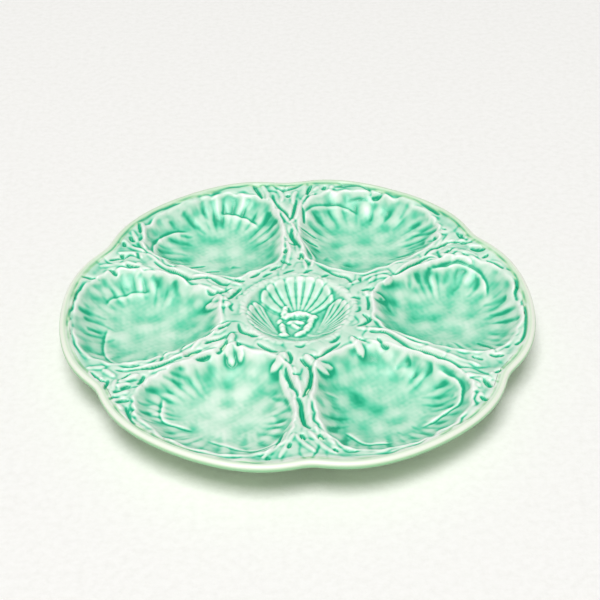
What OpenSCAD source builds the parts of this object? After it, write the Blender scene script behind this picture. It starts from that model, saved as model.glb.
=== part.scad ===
// Oyster plate of glazed earthenware: six shell wells round a small centre cup,
// with seaweed on the ridges between them and a rolled, six-lobed rim.
// Millimetres, +Z up. The origin is the centre of the foot ring's underside, and
// the well called 1 lies towards +X. The others follow anticlockwise.

/* [Plate] */
// Radius at the tip of a lobe
lobe_r = 125; // [118:1:134]
// How far a notch between two lobes cuts in
notch_depth = 5.5; // [4:0.5:8]
// How full the lobes are: the notches are wide at 1.5 and narrow at 3
lobe_fullness = 2.2; // [1.5:0.1:3]
// Thickness of the clay between a well's shell and the underside
wall = 3.8; // [2.8:0.1:5]
// Thickness of the clay in the border round the wells
border_t = 3.6; // [2.5:0.1:5]
// Thickness of the clay at the very edge, under the rolled rim
edge_t = 0.8; // [0.5:0.1:2]
// Width over which the border thins out towards the edge
edge_taper_w = 6.5; // [4:0.5:8]

/* [Foot] */
// Outer radius of the foot ring
foot_r = 63; // [56:1:66]
// Width of the foot ring where it meets the plate
foot_w = 5.5; // [4:0.5:7]
// Flat width that the foot ring stands on
foot_land = 3; // [2:0.5:4]
// Height of the foot ring
foot_h = 3; // [2:0.5:5]
// How far the base inside the foot ring is domed up
base_dome = 5.5; // [2:0.5:7]

/* [Wells] */
// Radius of the circle that the middles of the wells lie on
well_ring_r = 79; // [76:1:82]
// Width of a well at its widest
well_w = 86; // [80:1:92]
// Width of the ridge between two wells, at its narrowest
ridge_w = 8; // [7:0.5:12]
// Width of the border between a well and the tip of a lobe
border_w = 7; // [6.5:0.5:12]
// Radius at which the wells come to their narrow end
apex_r = 37.5; // [35:0.5:41]
// Depth of a well, from the deck to the floor of its shell
well_depth = 12.2; // [9:0.2:15]
// Thickness of the shell that lines a well, at its floor
shell_t = 2; // [1.5:0.1:2.6]
// How far a shell's edge stands above the deck
lip_h = 1.3; // [0.6:0.1:2]
// Depth of the pleats round a shell
pleat_h = 1.4; // [0.5:0.1:1.6]
// Height of the step where a second, smaller shell lies in the first
step_h = 0.8; // [0.4:0.1:1.2]

/* [Rim] */
// Width of the rolled rim
rim_w = 5.5; // [3.5:0.5:6]
// Height of the rolled rim above the deck
rim_h = 3; // [2:0.2:4]

/* [Centre] */
// Radius of the cup in the middle
cup_r = 26.5; // [24:0.5:28]
// Depth of the cup, from the deck to its floor
cup_depth = 7.5; // [5:0.5:9]
// Radius of the cup's flat floor
cup_floor_r = 9.5; // [7:0.5:12]
// Width of the ring round the cup
ring_w = 4.6; // [3:0.2:5.4]
// Height of the ring above the deck
ring_h = 1.5; // [1:0.1:2.5]
// Thickness of a scallop in the cup, in the grooves between its ribs
scallop_t = 1.1; // [0.8:0.1:1.6]
// Height of a scallop's ribs
scallop_rib_h = 0.8; // [0.4:0.1:1.2]
// Height of the sprig in the middle of the cup
sprig_h = 2.6; // [1.5:0.1:4]

/* [Seaweed] */
// Height of the seaweed above the deck
weed_h = 2; // [1.2:0.1:2.8]
// Width across the forked leaf by the rim
fork_w = 26; // [18:1:30]

/* [Hidden] */
WELLS = 6;
NUMBERS = [1, 2, 3, 4, 5, 6];
SCALLOPS = ["back", "left", "right"];

GLAZE = [0.62, 0.87, 0.75];
PALE_GLAZE = [0.80, 0.94, 0.83];
RIM_GLAZE = [0.87, 0.94, 0.80];
BISCUIT = [0.91, 0.86, 0.76];

// Mesh steps along a lobe, along a ridge and along the cup's side of a well
LOBE_STEPS = 20;
RIDGE_STEPS = 14;
CUP_STEPS = 12;
OUTLINE_N = WELLS * LOBE_STEPS;
HUB_N = WELLS * CUP_STEPS;
SECTOR = 360 / WELLS;
HALF = SECTOR / 2;

// Levels, from the table up, and radii that follow from the sizes above
seat_floor_z = foot_h + wall;
floor_z = seat_floor_z + shell_t;
deck_h = floor_z + well_depth;
border_z = deck_h - border_t;
cup_floor_z = deck_h - cup_depth;
notch_r = lobe_r - notch_depth;
// Clear strip between two features that lie side by side on one surface
relief_gap = 0.5;
hub_r = cup_r + ring_w + 2 * relief_gap;
// Slip of flat base on each side of the foot ring
foot_margin = 1.5;

// Turns and shares that shape a well. The rings run from its middle outwards.
corner_power = 9;
bowl_power = 3.1;
shell_ring_shares = [0.3, 0.55, 0.72, 0.77, 0.89, 1];
seat_ring_shares = [0.4, 0.7, 0.88, 1];
step_from_share = 0.75;
// Pleats run round a shell but for its narrow end, and are lower at the edge
pleat_end_angle = 150;
lip_pleat_share = 0.8;
// Where each well's second shell shows, in degrees from the well's outward line
second_shell_angles = [[-70, 20], [-10, 85], [20, 100], [-120, -40], [-60, 40], [30, 120]];

function polar(r, a) = [r * cos(a), r * sin(a)];
function at_z(points, z) = [for (p = points) [p.x, p.y, z]];
function last(list) = list[len(list) - 1];

// Triangles of a band between two loops of as many points, of a stack of bands, and of
// the ends. A stack runs from the top's middle out and back under. An end runs to a tip
// inside its loop, or is flat and fans out from its first point, which sees the others.
function band(a, b) =
    let (n = len(a)) [
        for (i = [0 : n - 1])
            let (k = (i + 1) % n)
            each [[b[i], a[i], a[k]], [b[i], a[k], b[k]]]
    ];
function skin(loops) = [for (i = [0 : len(loops) - 2]) each band(loops[i], loops[i + 1])];
function point_top(loop, tip) =
    let (n = len(loop)) [for (i = [0 : n - 1]) [loop[i], tip, loop[(i + 1) % n]]];
function point_base(loop, tip) =
    let (n = len(loop)) [for (i = [0 : n - 1]) [loop[(i + 1) % n], tip, loop[i]]];
function flat_top(loop) = [for (i = [1 : len(loop) - 2]) [loop[0], loop[i + 1], loop[i]]];
function flat_base(loop) = [for (i = [1 : len(loop) - 2]) [loop[0], loop[i], loop[i + 1]]];

module solid(triangles) {
    polyhedron(
        points = [for (t = triangles, p = t) p],
        faces = [for (i = [0 : len(triangles) - 1]) [3 * i, 3 * i + 1, 3 * i + 2]]
    );
}

// The plate's outline, with a notch at each ridge. Point 0 lies in the first notch. The
// softness share rounds a notch's bottom.
notch_soft_share = 0.15;
function outline_angle(j) = 360 / OUTLINE_N * (j % OUTLINE_N) - HALF;
function soft_size(s) = sqrt(s * s + notch_soft_share * notch_soft_share) - notch_soft_share;
function edge_r(a) =
    let (rise = soft_size(sin(WELLS / 2 * (a - HALF))) / soft_size(1))
    notch_r + notch_depth * (1 - pow(max(0, 1 - rise), lobe_fullness));
function outline_point(j) = polar(edge_r(outline_angle(j)), outline_angle(j));
function outline_loop(inset, z) = [
    for (j = [0 : OUTLINE_N - 1])
        let (p = outline_point(j), s = 1 - inset / norm(p))
        [s * p.x, s * p.y, z]
];
function ring_loop(r, z) = at_z([for (j = [0 : OUTLINE_N - 1]) polar(r, outline_angle(j))], z);
function hub_point(j, r) = polar(r, 360 / HUB_N * ((j + HUB_N) % HUB_N) - HALF);
function hub_loop(r, z) = at_z([for (j = [0 : HUB_N - 1]) hub_point(j, r)], z);

// Rays run from a well's middle to the ridge's line, which two neighbours share
function ridge_ray(i) =
    let (
        first = atan2(notch_r * sin(HALF), notch_r * cos(HALF) - well_ring_r),
        final = atan2(hub_r * sin(HALF), hub_r * cos(HALF) - well_ring_r)
    )
    first + (final - first) * i / RIDGE_STEPS;
function ridge_reach(i) =
    let (a = ridge_ray(i), d = well_ring_r * sin(HALF) / sin(a - HALF))
    norm([well_ring_r + d * cos(a), d * sin(a)]);
function sector_border(k) = concat(
    [for (i = [0 : LOBE_STEPS]) outline_point(LOBE_STEPS * k + i)],
    [for (i = [1 : RIDGE_STEPS - 1]) polar(ridge_reach(i), (SECTOR * k + HALF) % 360)],
    [for (i = [0 : CUP_STEPS]) hub_point(CUP_STEPS * (k + 1) - i, hub_r)],
    [for (i = [RIDGE_STEPS - 1 : -1 : 1]) polar(ridge_reach(i), (SECTOR * k + 360 - HALF) % 360)]
);

// Reach of a well from its middle, at an angle from its outward line: a soft least of
// its half width and of the ways to the border, the ridge and the cup, which rounds
// the fan's corners
function way_to_border(a) =
    let (r = lobe_r - border_w, s = well_ring_r * sin(a))
    sqrt(r * r - s * s) - well_ring_r * cos(a);
function way_to_ridge(a) =
    let (turn = sin(abs(a) - HALF))
    turn > 0.01 ? (well_ring_r * sin(HALF) - ridge_w / 2) / turn : 4 * lobe_r;
function way_to_cup(a) =
    let (s = well_ring_r * sin(a))
    cos(a) < 0 && abs(s) < apex_r
        ? -well_ring_r * cos(a) - sqrt(apex_r * apex_r - s * s)
        : 4 * lobe_r;
function well_reach(a) =
    let (
        ways = [well_w / 2, way_to_border(a), way_to_ridge(a), way_to_cup(a)],
        least = min(ways)
    )
    least * pow([for (w = ways) pow(least / w, corner_power)] * [1, 1, 1, 1], -1 / corner_power);

// Angles of a well's rays, and loops round the well at a share of its reach
function well_middle(k) = polar(well_ring_r, SECTOR * k);
function well_tip(k, z) = let (c = well_middle(k)) [c.x, c.y, z];
function small_turn(a) = a > 180 ? small_turn(a - 360) : a < -180 ? small_turn(a + 360) : a;
function well_rays(k) =
    let (c = well_middle(k))
    [for (p = sector_border(k)) small_turn(atan2(p.y - c.y, p.x - c.x) - SECTOR * k)];
function well_loop(k, share) =
    let (c = well_middle(k))
    [for (a = well_rays(k)) c + polar(share * well_reach(a), a + SECTOR * k)];

// Heights at a share of a well's reach: its smooth bowl, its seat in the clay and the
// underside below it
function bowl_z(share) = floor_z + well_depth * pow(share, bowl_power);
function seat_z(share) =
    share == 1 ? deck_h : share == seat_ring_shares[0] ? seat_floor_z : bowl_z(share) - shell_t;
function seat_loops(k) = [for (s = seat_ring_shares) at_z(well_loop(k, s), seat_z(s))];
function under_z(p) =
    let (
        k = round(atan2(p.y, p.x) / SECTOR),
        from_middle = p - well_middle(k),
        a = small_turn(atan2(from_middle.y, from_middle.x) - SECTOR * k),
        share = min(1, norm(from_middle) / well_reach(a))
    )
    min(border_z, bowl_z(share) - shell_t - wall);

// Loops of the underside, from the border in to the foot ring, as shares of the outline
under_ring_shares = [0.92, 0.87, 0.81, 0.74, 0.66];
function under_loop(share) = [
    for (j = [0 : OUTLINE_N - 1])
        let (p = share * outline_point(j))
        [p.x, p.y, under_z(p)]
];

// The cup's side, from the deck down to its floor, bends once
cup_bend_share = 0.68;
cup_bend_depth_share = 0.62;
cup_profile = [
    [cup_floor_r, cup_floor_z],
    [
        cup_floor_r + (cup_r - cup_floor_r) * cup_bend_share,
        deck_h - cup_depth * cup_bend_depth_share
    ],
    [cup_r, deck_h]
];

module plate_body() {
    cup_loops = [for (p = cup_profile) hub_loop(p[0], p[1])];
    dome = ring_loop(cup_r, foot_h + base_dome);
    underside = concat(
        [outline_loop(0, deck_h), outline_loop(0, deck_h - edge_t), outline_loop(edge_taper_w, border_z)],
        [for (s = under_ring_shares) under_loop(s)],
        [ring_loop(foot_r + foot_margin, foot_h), ring_loop(foot_r - foot_w - foot_margin, foot_h), dome]
    );
    color(GLAZE) solid(concat(
        [for (k = [0 : WELLS - 1])
            let (seat = seat_loops(k), border = at_z(sector_border(k), deck_h))
            each concat(point_top(seat[0], well_tip(k, seat_floor_z)), skin(concat(seat, [border])))
        ],
        flat_top(cup_loops[0]),
        skin(concat(cup_loops, [hub_loop(hub_r, deck_h)])),
        skin(underside),
        flat_base(dome)
    ));
}

module foot_ring() {
    slope_w = (foot_w - foot_land) / 2;
    color(BISCUIT) rotate_extrude($fn = 120)
        polygon([
            [foot_r - foot_w, foot_h],
            [foot_r - foot_w + slope_w, 0],
            [foot_r - slope_w, 0],
            [foot_r, foot_h]
        ]);
}

// The rolled rim stands on the deck, flush with the plate's edge. It rises steeply on the
// inside and falls in a long curve outwards. Its profile is in shares of its width, from
// the outside in, and of its height.
module rolled_rim() {
    roll_shares = [
        [1, 0], [0.97, 0.6], [0.87, 0.93], [0.7, 1], [0.45, 0.94], [0.2, 0.76], [0.06, 0.52],
        [0, 0.22], [0, 0]
    ];
    loops = [for (s = roll_shares) outline_loop(rim_w * s[0], deck_h + rim_h * s[1])];
    color(RIM_GLAZE) solid(skin(concat(loops, [loops[0]])));
}

// A shell lies in its seat, with pleats, an edge above the deck and a second shell
function pleat(i, a) = abs(a) < pleat_end_angle ? i % 2 : 0;
function shell_z(k, share, i, a) =
    let (
        range = second_shell_angles[k],
        step = share > step_from_share && a > range[0] && a < range[1] ? step_h : 0
    )
    share == 1
        ? deck_h + lip_h * (1 - lip_pleat_share * pleat(i, a))
        : bowl_z(share) + step - pleat_h * pleat(i, a) * share * share;
function shell_loop(k, share) =
    let (loop = well_loop(k, share), rays = well_rays(k))
    [for (i = [0 : len(loop) - 1]) [loop[i].x, loop[i].y, shell_z(k, share, i, rays[i])]];
function reversed(list) = [for (i = [len(list) - 1 : -1 : 0]) list[i]];

module oyster_shell(k) {
    rings = [for (s = shell_ring_shares) shell_loop(k, s)];
    seat = reversed(seat_loops(k));
    color(GLAZE) solid(concat(
        point_top(rings[0], well_tip(k, floor_z)),
        skin(concat(rings, seat)),
        point_base(last(seat), well_tip(k, seat_floor_z))
    ));
}

module centre_ring() {
    middle_r = cup_r + relief_gap + ring_w / 2;
    arc_steps = 10;
    color(PALE_GLAZE) rotate_extrude($fn = 120)
        polygon([
            for (i = [0 : arc_steps])
                let (a = 180 * i / arc_steps)
                [middle_r + ring_w / 2 * cos(a), deck_h + ring_h * sin(a)]
        ]);
}

// A scallop is a fan of ribs that lies on the cup's side. Its profile follows the
// cup's, and stops a little short of the deck.
scallop_steps = 22;
scallop_top_share = 0.9;
scallop_grow_shares = [0.35, 0.8, 1];
scallop_profile = [
    cup_profile[0],
    cup_profile[1],
    cup_profile[1] + scallop_top_share * (cup_profile[2] - cup_profile[1])
];
function scallop_point(j, i, rise) =
    let (p = scallop_profile[i], q = hub_point(j, p[0]))
    [q.x, q.y, p[1] + rise];
function scallop_section(j) =
    let (rib = scallop_rib_h * (1 - j % 2))
    concat(
        [for (i = [1, 2]) scallop_point(j, i, 0)],
        [for (i = [2, 1, 0]) scallop_point(j, i, scallop_t + rib * scallop_grow_shares[i])],
        [scallop_point(j, 0, 0)]
    );
module scallop(n) {
    first = HUB_N / len(SCALLOPS) * (n + 1) - scallop_steps / 2;
    sections = [for (j = [0 : scallop_steps]) scallop_section(first + j)];
    color(PALE_GLAZE)
        solid(concat(skin(sections), flat_top(sections[0]), flat_base(last(sections))));
}

// The sprig in the cup is a small star of knobbly branches
module centre_sprig() {
    branches = 7;
    branch_steps = 6;
    reach = cup_floor_r - relief_gap;
    level_shares = [[0.25, 1], [0.6, 0.85], [0.92, 0.5], [1, 0]];
    branch_share = 0.5;
    loops = [
        for (level = level_shares) [
            for (j = [0 : branches * branch_steps - 1])
                let (
                    a = 360 / (branches * branch_steps) * j,
                    r = reach * level[0] * (1 - branch_share * pow(sin(branches * a / 2), 2)),
                    p = polar(r, a)
                )
                [p.x, p.y, cup_floor_z + sprig_h * level[1]]
        ]
    ];
    color(PALE_GLAZE) solid(concat(
        point_top(loops[0], [0, 0, cup_floor_z + sprig_h]),
        skin(loops),
        point_base(last(loops), [0, 0, cup_floor_z])
    ));
}

// Seaweed runs along a ridge, from a forked leaf by the rim to the cup. The sections
// between lie on the rays of the wells on both sides, and each row says how far its
// leaf reaches from the ridge's line towards the two wells.
leaf_shares = [
    [0.5, 0.4], [0.8, 0.35], [0.4, 0.8], [0.82, 0.35], [0.35, 0.78], [0.78, 0.3], [0.3, 0.75],
    [0.75, 0.3], [0.3, 0.75], [0.78, 0.35], [0.35, 0.8], [0.7, 0.4], [0.35, 0.5]
];
leaf_flank_share = 0.7;
leaf_flank_h_share = 0.75;
function weed_row(i, shares) =
    let (
        a = ridge_ray(i),
        well = [well_ring_r, 0] + polar(well_reach(a), a),
        line = [ridge_reach(i), 0],
        beside = polar(norm(well), atan2(well.y, well.x) - HALF) - line
    )
    [line, line + shares[0] * [beside.x, -beside.y], line + shares[1] * beside];
function fork_row() =
    let (r = notch_r - rim_w - 2 * relief_gap, spread = asin(fork_w / 2 / r))
    [[r, 0], polar(r, spread), polar(r, -spread)];
function weed_section(row) =
    let (
        line = row[0],
        left = row[1],
        right = row[2],
        left_flank = line + leaf_flank_share * (left - line),
        right_flank = line + leaf_flank_share * (right - line)
    )
    [
        [line.x, line.y, deck_h + weed_h],
        [left_flank.x, left_flank.y, deck_h + weed_h * leaf_flank_h_share],
        [left.x, left.y, deck_h],
        [line.x, line.y, deck_h],
        [right.x, right.y, deck_h],
        [right_flank.x, right_flank.y, deck_h + weed_h * leaf_flank_h_share]
    ];
module seaweed(k) {
    rows = [
        for (i = [1 : RIDGE_STEPS - 1])
            let (shares = leaf_shares[i - 1])
            weed_row(i, k % 2 == 0 ? shares : reversed(shares))
    ];
    sections = [for (row = concat([fork_row()], rows)) weed_section(row)];
    color(PALE_GLAZE) rotate(SECTOR * k + HALF)
        solid(concat(skin(sections), flat_top(sections[0]), flat_base(last(sections))));
}

plate_body();
foot_ring();
rolled_rim();
centre_ring();
centre_sprig();
for (n = NUMBERS) {
    oyster_shell(n - 1);
    seaweed(n - 1);
}
for (n = [0 : len(SCALLOPS) - 1])
    scallop(n);
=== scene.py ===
import math

import bpy
import numpy as np
from mathutils import Matrix, Vector


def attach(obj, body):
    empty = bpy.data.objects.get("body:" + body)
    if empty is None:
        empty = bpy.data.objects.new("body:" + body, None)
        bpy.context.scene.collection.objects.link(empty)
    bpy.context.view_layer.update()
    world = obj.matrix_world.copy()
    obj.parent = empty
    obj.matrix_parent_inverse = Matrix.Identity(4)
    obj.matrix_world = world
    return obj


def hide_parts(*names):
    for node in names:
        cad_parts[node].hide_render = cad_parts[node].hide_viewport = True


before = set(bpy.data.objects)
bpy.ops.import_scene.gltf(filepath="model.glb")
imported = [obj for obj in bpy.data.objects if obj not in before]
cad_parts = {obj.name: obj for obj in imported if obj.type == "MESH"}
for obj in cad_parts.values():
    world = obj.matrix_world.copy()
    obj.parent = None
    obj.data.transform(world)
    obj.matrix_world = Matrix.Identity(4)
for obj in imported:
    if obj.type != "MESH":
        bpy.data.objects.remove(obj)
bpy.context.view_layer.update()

MM = 0.001

# Sizes of the plate in millimetres, as in the solids
LOBE_R, NOTCH_DEPTH, LOBE_FULL, NOTCH_SOFT = 125.0, 5.5, 2.2, 0.15
NOTCH_R = LOBE_R - NOTCH_DEPTH
WELLS = 6
SECTOR, HALF = 60.0, 30.0
WELL_RING_R, WELL_W, RIDGE_W, BORDER_W, APEX_R = 79.0, 86.0, 8.0, 7.0, 37.5
FLOOR_Z, WELL_DEPTH, BOWL_POWER = 8.8, 12.2, 3.1
RIM_W, RIM_TOP_Z, RIM_CREST_IN = 5.5, 24.0, 2.6
RIM_MIDDLE_Z = 21.66
BORDER_Z, EDGE_TAPER_W = 17.4, 6.5
CUP_R, CUP_FLOOR_R, RING_IN, RING_OUT = 26.5, 9.5, 27.0, 31.6
FOOT_R, FOOT_W, FOOT_LAND, FOOT_H = 63.0, 5.5, 3.0, 3.0
UNDER_WALL = 5.8

# Heights of the glazed surface: between the shells, at their lips and on the rim, which
# stays just inside the solid
BED_Z, LIP_Z = 22.1, 22.6
SEEN_TOP_Z = RIM_TOP_Z - 0.03

# The view: elevation, distance, how the plate is turned under it, and the level that
# points are read on
VIEW_UP, VIEW_FAR, VIEW_TURN, VIEW_LEVEL = 0.6643, 794.3, -2.58, 21.97
FOCAL_PX, PICTURE_PX, MIDDLE_PX, ROLL = 1503.1, 600, (297.4, 308.3), 0.008

# Seeded noises over the plate: seed, shortest and longest wave in millimetres. Each well's
# ribs have a seed of their own, counted from RIB_SEED
NOISES = {
    "shell_edge": (9, 7, 18),
    "ridge_leaves": (61, 8, 13),
    "hub_leaves": (63, 10, 18),
    "leaf_height": (65, 12, 30),
    "bed": (3, 9, 22),
    "lip": (5, 14, 40),
    "bowl": (7, 10, 26),
    "lip_crease": (13, 12, 30),
    "ring_leaves": (67, 4.5, 8.5),
    "sprig": (69, 2.5, 5),
    "rim_crease": (71, 14, 40),
    "skin": (11, 2.5, 6),
    "glaze": (21, 12, 30),
    "weed_edge": (31, 6, 14),
    "rim_waver": (51, 12, 50),
}
RIB_SEED = 40


# The plan
def edge_r(deg):
    """Radius of the outline, with a rounded notch at each ridge."""
    def soft_size(s):
        return np.sqrt(s * s + NOTCH_SOFT**2) - NOTCH_SOFT

    rise_share = soft_size(np.sin(np.radians(WELLS / 2 * (deg - HALF)))) / soft_size(1.0)
    return NOTCH_R + NOTCH_DEPTH * (1 - np.maximum(1 - rise_share, 0) ** LOBE_FULL)


def reach(deg, least_turn=0.01, corner_power=9):
    """A well's reach from its middle, at an angle from its outward line: the least of
    its half width and its ways to the border, the ridge and the cup, with its corners
    rounded."""
    a = np.radians(deg)
    s = WELL_RING_R * np.sin(a)
    border = LOBE_R - BORDER_W
    to_border = np.sqrt(border**2 - s * s) - WELL_RING_R * np.cos(a)
    turn = np.sin(np.radians(np.abs(deg) - HALF))
    half_ridge = WELL_RING_R * math.sin(math.radians(HALF)) - RIDGE_W / 2
    far = 4 * LOBE_R
    to_ridge = np.where(turn > least_turn, half_ridge / np.maximum(turn, least_turn), far)
    hits_cup = (np.cos(a) < 0) & (np.abs(s) < APEX_R)
    to_cup = np.where(
        hits_cup, -WELL_RING_R * np.cos(a) - np.sqrt(np.maximum(APEX_R**2 - s * s, 0)), far
    )
    ways = np.stack([np.full_like(to_border, WELL_W / 2), to_border, to_ridge, to_cup])
    least = ways.min(0)
    return least * ((least / ways) ** corner_power).sum(0) ** (-1 / corner_power)


STEP = 0.5
HALF_GRID = 126.0
AXIS = np.arange(-HALF_GRID, HALF_GRID + STEP / 2, STEP)
GX, GY = np.meshgrid(AXIS, AXIS)
GR = np.hypot(GX, GY)
GT = np.degrees(np.arctan2(GY, GX))
INSET = edge_r(GT) - GR
WELL_OF = np.round(GT / SECTOR).astype(int) % WELLS


def turned(points, deg):
    p = np.asarray(points, float)
    c, s = math.cos(math.radians(deg)), math.sin(math.radians(deg))
    return np.stack([c * p[..., 0] - s * p[..., 1], s * p[..., 0] + c * p[..., 1]], -1)


def well_middle(k):
    a = math.radians(SECTOR * k)
    return WELL_RING_R * math.cos(a), WELL_RING_R * math.sin(a)


def half_turns(deg):
    """The same angle between -180 and 180 degrees."""
    return (deg + 180) % 360 - 180


MIDDLES = np.array([well_middle(k) for k in range(WELLS)])
DX, DY = GX - MIDDLES[WELL_OF, 0], GY - MIDDLES[WELL_OF, 1]
WELL_A = half_turns(np.degrees(np.arctan2(DY, DX)) - SECTOR * WELL_OF)
WELL_REACH = reach(WELL_A)
SHARE = np.hypot(DX, DY) / WELL_REACH
# Ridges: the sector each point lies in, and its place along and across the ridge
RIDGE_K = np.floor((GT % 360) / SECTOR).astype(int) % WELLS
RIDGE_A = np.radians(GT - (SECTOR * RIDGE_K + HALF))
ALONG_R, ACROSS_R = GR * np.cos(RIDGE_A), GR * np.sin(RIDGE_A)


# Shapes of change
def smooth(t):
    t = np.clip(t, 0, 1)
    return t * t * (3 - 2 * t)


def rise(x, start, over):
    """Smoothly from 0 at start to 1 past it."""
    return smooth((x - start) / over)


def fall(x, end, over):
    """Smoothly from 1 down to 0 at end."""
    return smooth((end - x) / over)


def bell(x, at, width):
    return np.exp(-((x - at) / width) ** 2)


def swell(share, least):
    """From least up to 1, as share goes from 0 to 1."""
    return least + (1 - least) * share


def soft_most(a, b, sharp):
    """The larger of two heights, with a rounded step between them."""
    return np.logaddexp(sharp * a, sharp * b) / sharp


def blur(field, size, sigmas=3):
    """Gaussian blur, size in millimetres."""
    sigma = size / STEP
    n = int(math.ceil(sigmas * sigma))
    kernel = np.exp(-0.5 * (np.arange(-n, n + 1) / sigma) ** 2)
    kernel /= kernel.sum()
    out = field
    for axis in (0, 1):
        pad = [(n, n) if i == axis else (0, 0) for i in (0, 1)]
        wide = np.pad(out, pad, mode="edge")
        out = sum(
            w * (wide[i : i + field.shape[0]] if axis == 0 else wide[:, i : i + field.shape[1]])
            for i, w in enumerate(kernel)
        )
    return out


def waves(name, x=GX, y=GY, count=40):
    """Smooth seeded noise of about unit height over the grid."""
    seed, shortest, longest = NOISES[name]
    rng = np.random.default_rng(seed)
    out = np.zeros_like(GX)
    for _ in range(count):
        length = rng.uniform(shortest, longest)
        a, phase = rng.uniform(0, 2 * math.pi, 2)
        out += np.cos(2 * math.pi / length * (x * math.cos(a) + y * math.sin(a)) + phase)
    return out / math.sqrt(count / 2)


def pillows(name, x=GX, y=GY, crease=0.45):
    """Leafy relief from 0, in thin creases, to 1 on the pillows between them."""
    return 1 - np.exp(-np.abs(waves(name, x, y)) / crease)


def sample(field, points, inner=1.001):
    """Bilinear value of a grid field at points (n, 2)."""
    p = (np.asarray(points, float) + HALF_GRID) / STEP
    i = np.clip(p[..., 0], 0, len(AXIS) - inner)
    j = np.clip(p[..., 1], 0, len(AXIS) - inner)
    i0, j0 = i.astype(int), j.astype(int)
    u, v = i - i0, j - j0
    return (
        field[j0, i0] * (1 - u) * (1 - v) + field[j0, i0 + 1] * u * (1 - v)
        + field[j0 + 1, i0] * (1 - u) * v + field[j0 + 1, i0 + 1] * u * v
    )


# Strokes on the height field
def rounded(points, times=2, cut=0.25):
    """Chaikin's corner cutting, which keeps the two ends."""
    p = np.asarray(points, float)
    for _ in range(times):
        if len(p) < 3:
            return p
        q = np.empty((2 * len(p) - 2, 2))
        q[0], q[-1] = p[0], p[-1]
        inner = np.empty((2 * (len(p) - 1), 2))
        inner[0::2] = (1 - cut) * p[:-1] + cut * p[1:]
        inner[1::2] = cut * p[:-1] + (1 - cut) * p[1:]
        q[1:-1] = inner[1:-1]
        p = q
    return p


def along(points, margin, shortest=1e-6):
    """Distance and place along a polyline for the grid points near it: a window of the
    grid, the distance, the place from 0 to 1, and which side, +1 to the left."""
    p = np.asarray(points, float)
    lo, hi = p.min(0) - margin, p.max(0) + margin
    i0, j0 = np.clip(((lo + HALF_GRID) / STEP).astype(int), 0, len(AXIS) - 1)
    i1, j1 = np.clip(((hi + HALF_GRID) / STEP).astype(int) + 2, 1, len(AXIS))
    window = (slice(j0, j1), slice(i0, i1))
    x, y = GX[window], GY[window]
    lengths = np.hypot(*np.diff(p, axis=0).T)
    starts = np.concatenate([[0], np.cumsum(lengths)])
    best = np.full(x.shape, np.inf)
    place = np.zeros(x.shape)
    side = np.zeros(x.shape)
    for a, b, start, length in zip(p[:-1], p[1:], starts, lengths):
        if length < shortest:
            continue
        d = (b - a) / length
        t = np.clip((x - a[0]) * d[0] + (y - a[1]) * d[1], 0, length)
        dist = np.hypot(x - a[0] - t * d[0], y - a[1] - t * d[1])
        near = dist < best
        best = np.where(near, dist, best)
        place = np.where(near, (start + t) / starts[-1], place)
        side = np.where(near, np.sign(d[0] * (y - a[1]) - d[1] * (x - a[0])), side)
    return window, best, place, side


def taper(place, ends):
    """From 0 at a stroke's ends to 1 along it. ends gives the shares that taper."""
    start, end = ends
    out = np.ones_like(place)
    if start > 0:
        out = out * np.sqrt(np.clip(place / start, 0, 1))
    if end > 0:
        out = out * np.sqrt(np.clip((1 - place) / end, 0, 1))
    return out


THINNEST = 0.2


def add_bead(relief, points, width, height, ends=(0.15, 0.15), soft=0.5, tip=0.35):
    """A raised round bead. width is its half width, and tip its share at the ends."""
    window, dist, place, _ = along(points, width + 1)
    w = np.maximum(width * swell(taper(place, ends), tip), THINNEST)
    h = height * np.clip(1 - (dist / w) ** 2, 0, 1) ** soft
    relief[window] = np.maximum(relief[window], h)


def add_cut(cuts, points, width, depth, ends, tip=0.15):
    """A crease of this half width and depth."""
    window, dist, place, _ = along(points, width + 1)
    t = taper(place, ends)
    w = np.maximum(width * swell(t, tip), THINNEST)
    cuts[window] = np.maximum(cuts[window], depth * t * (1 - smooth(dist / w)))


def add_ledge(steps, points, middle, height, fade, ends=0.16, drop=0.7):
    """The edge of a shell's layer: high on the side of the well's middle, where it
    runs out, and a sharp drop with a groove on the other side."""
    window, dist, place, side = along(points, 4 * fade)
    p = np.asarray(points)
    i = len(p) // 2
    d = p[i] - p[i - 1]
    inner = np.sign(d[0] * (middle[1] - p[i][1]) - d[1] * (middle[0] - p[i][0]))
    signed = dist * side * inner
    t = smooth(place / ends) * smooth((1 - place) / ends)
    up = np.where(signed > 0, np.exp(-signed / fade), 1 - smooth(-signed / drop))
    groove = 0.3 * bell(signed, at=-1.1, width=0.5)
    steps[window] += height * t * (up - groove)


def on_surface(points, base, lift=0.0, rounds=30, gain=0.5):
    """Points as the camera sees them, given where their lines of sight cross the view's
    level, moved along those lines on to the surface and into the plate's frame."""
    p = np.asarray(points, float)
    eye = np.array([0.0, -VIEW_FAR * math.cos(VIEW_UP), VIEW_FAR * math.sin(VIEW_UP)])
    drop = np.full(len(p), 1.0)
    for _ in range(rounds):
        t = (eye[2] + drop) / eye[2]
        q = turned(eye[:2] + t[:, None] * (p - eye[:2]), VIEW_TURN)
        drop += gain * (VIEW_LEVEL - (sample(base, q) + lift) - drop)
    return q


def strokes(table, base, lift=0.0):
    """Each row's two measures and its points, rounded and laid on the surface."""
    for width, height, *numbers in table:
        yield width, height, rounded(on_surface(np.reshape(numbers, (-1, 2)), base, lift))


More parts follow.
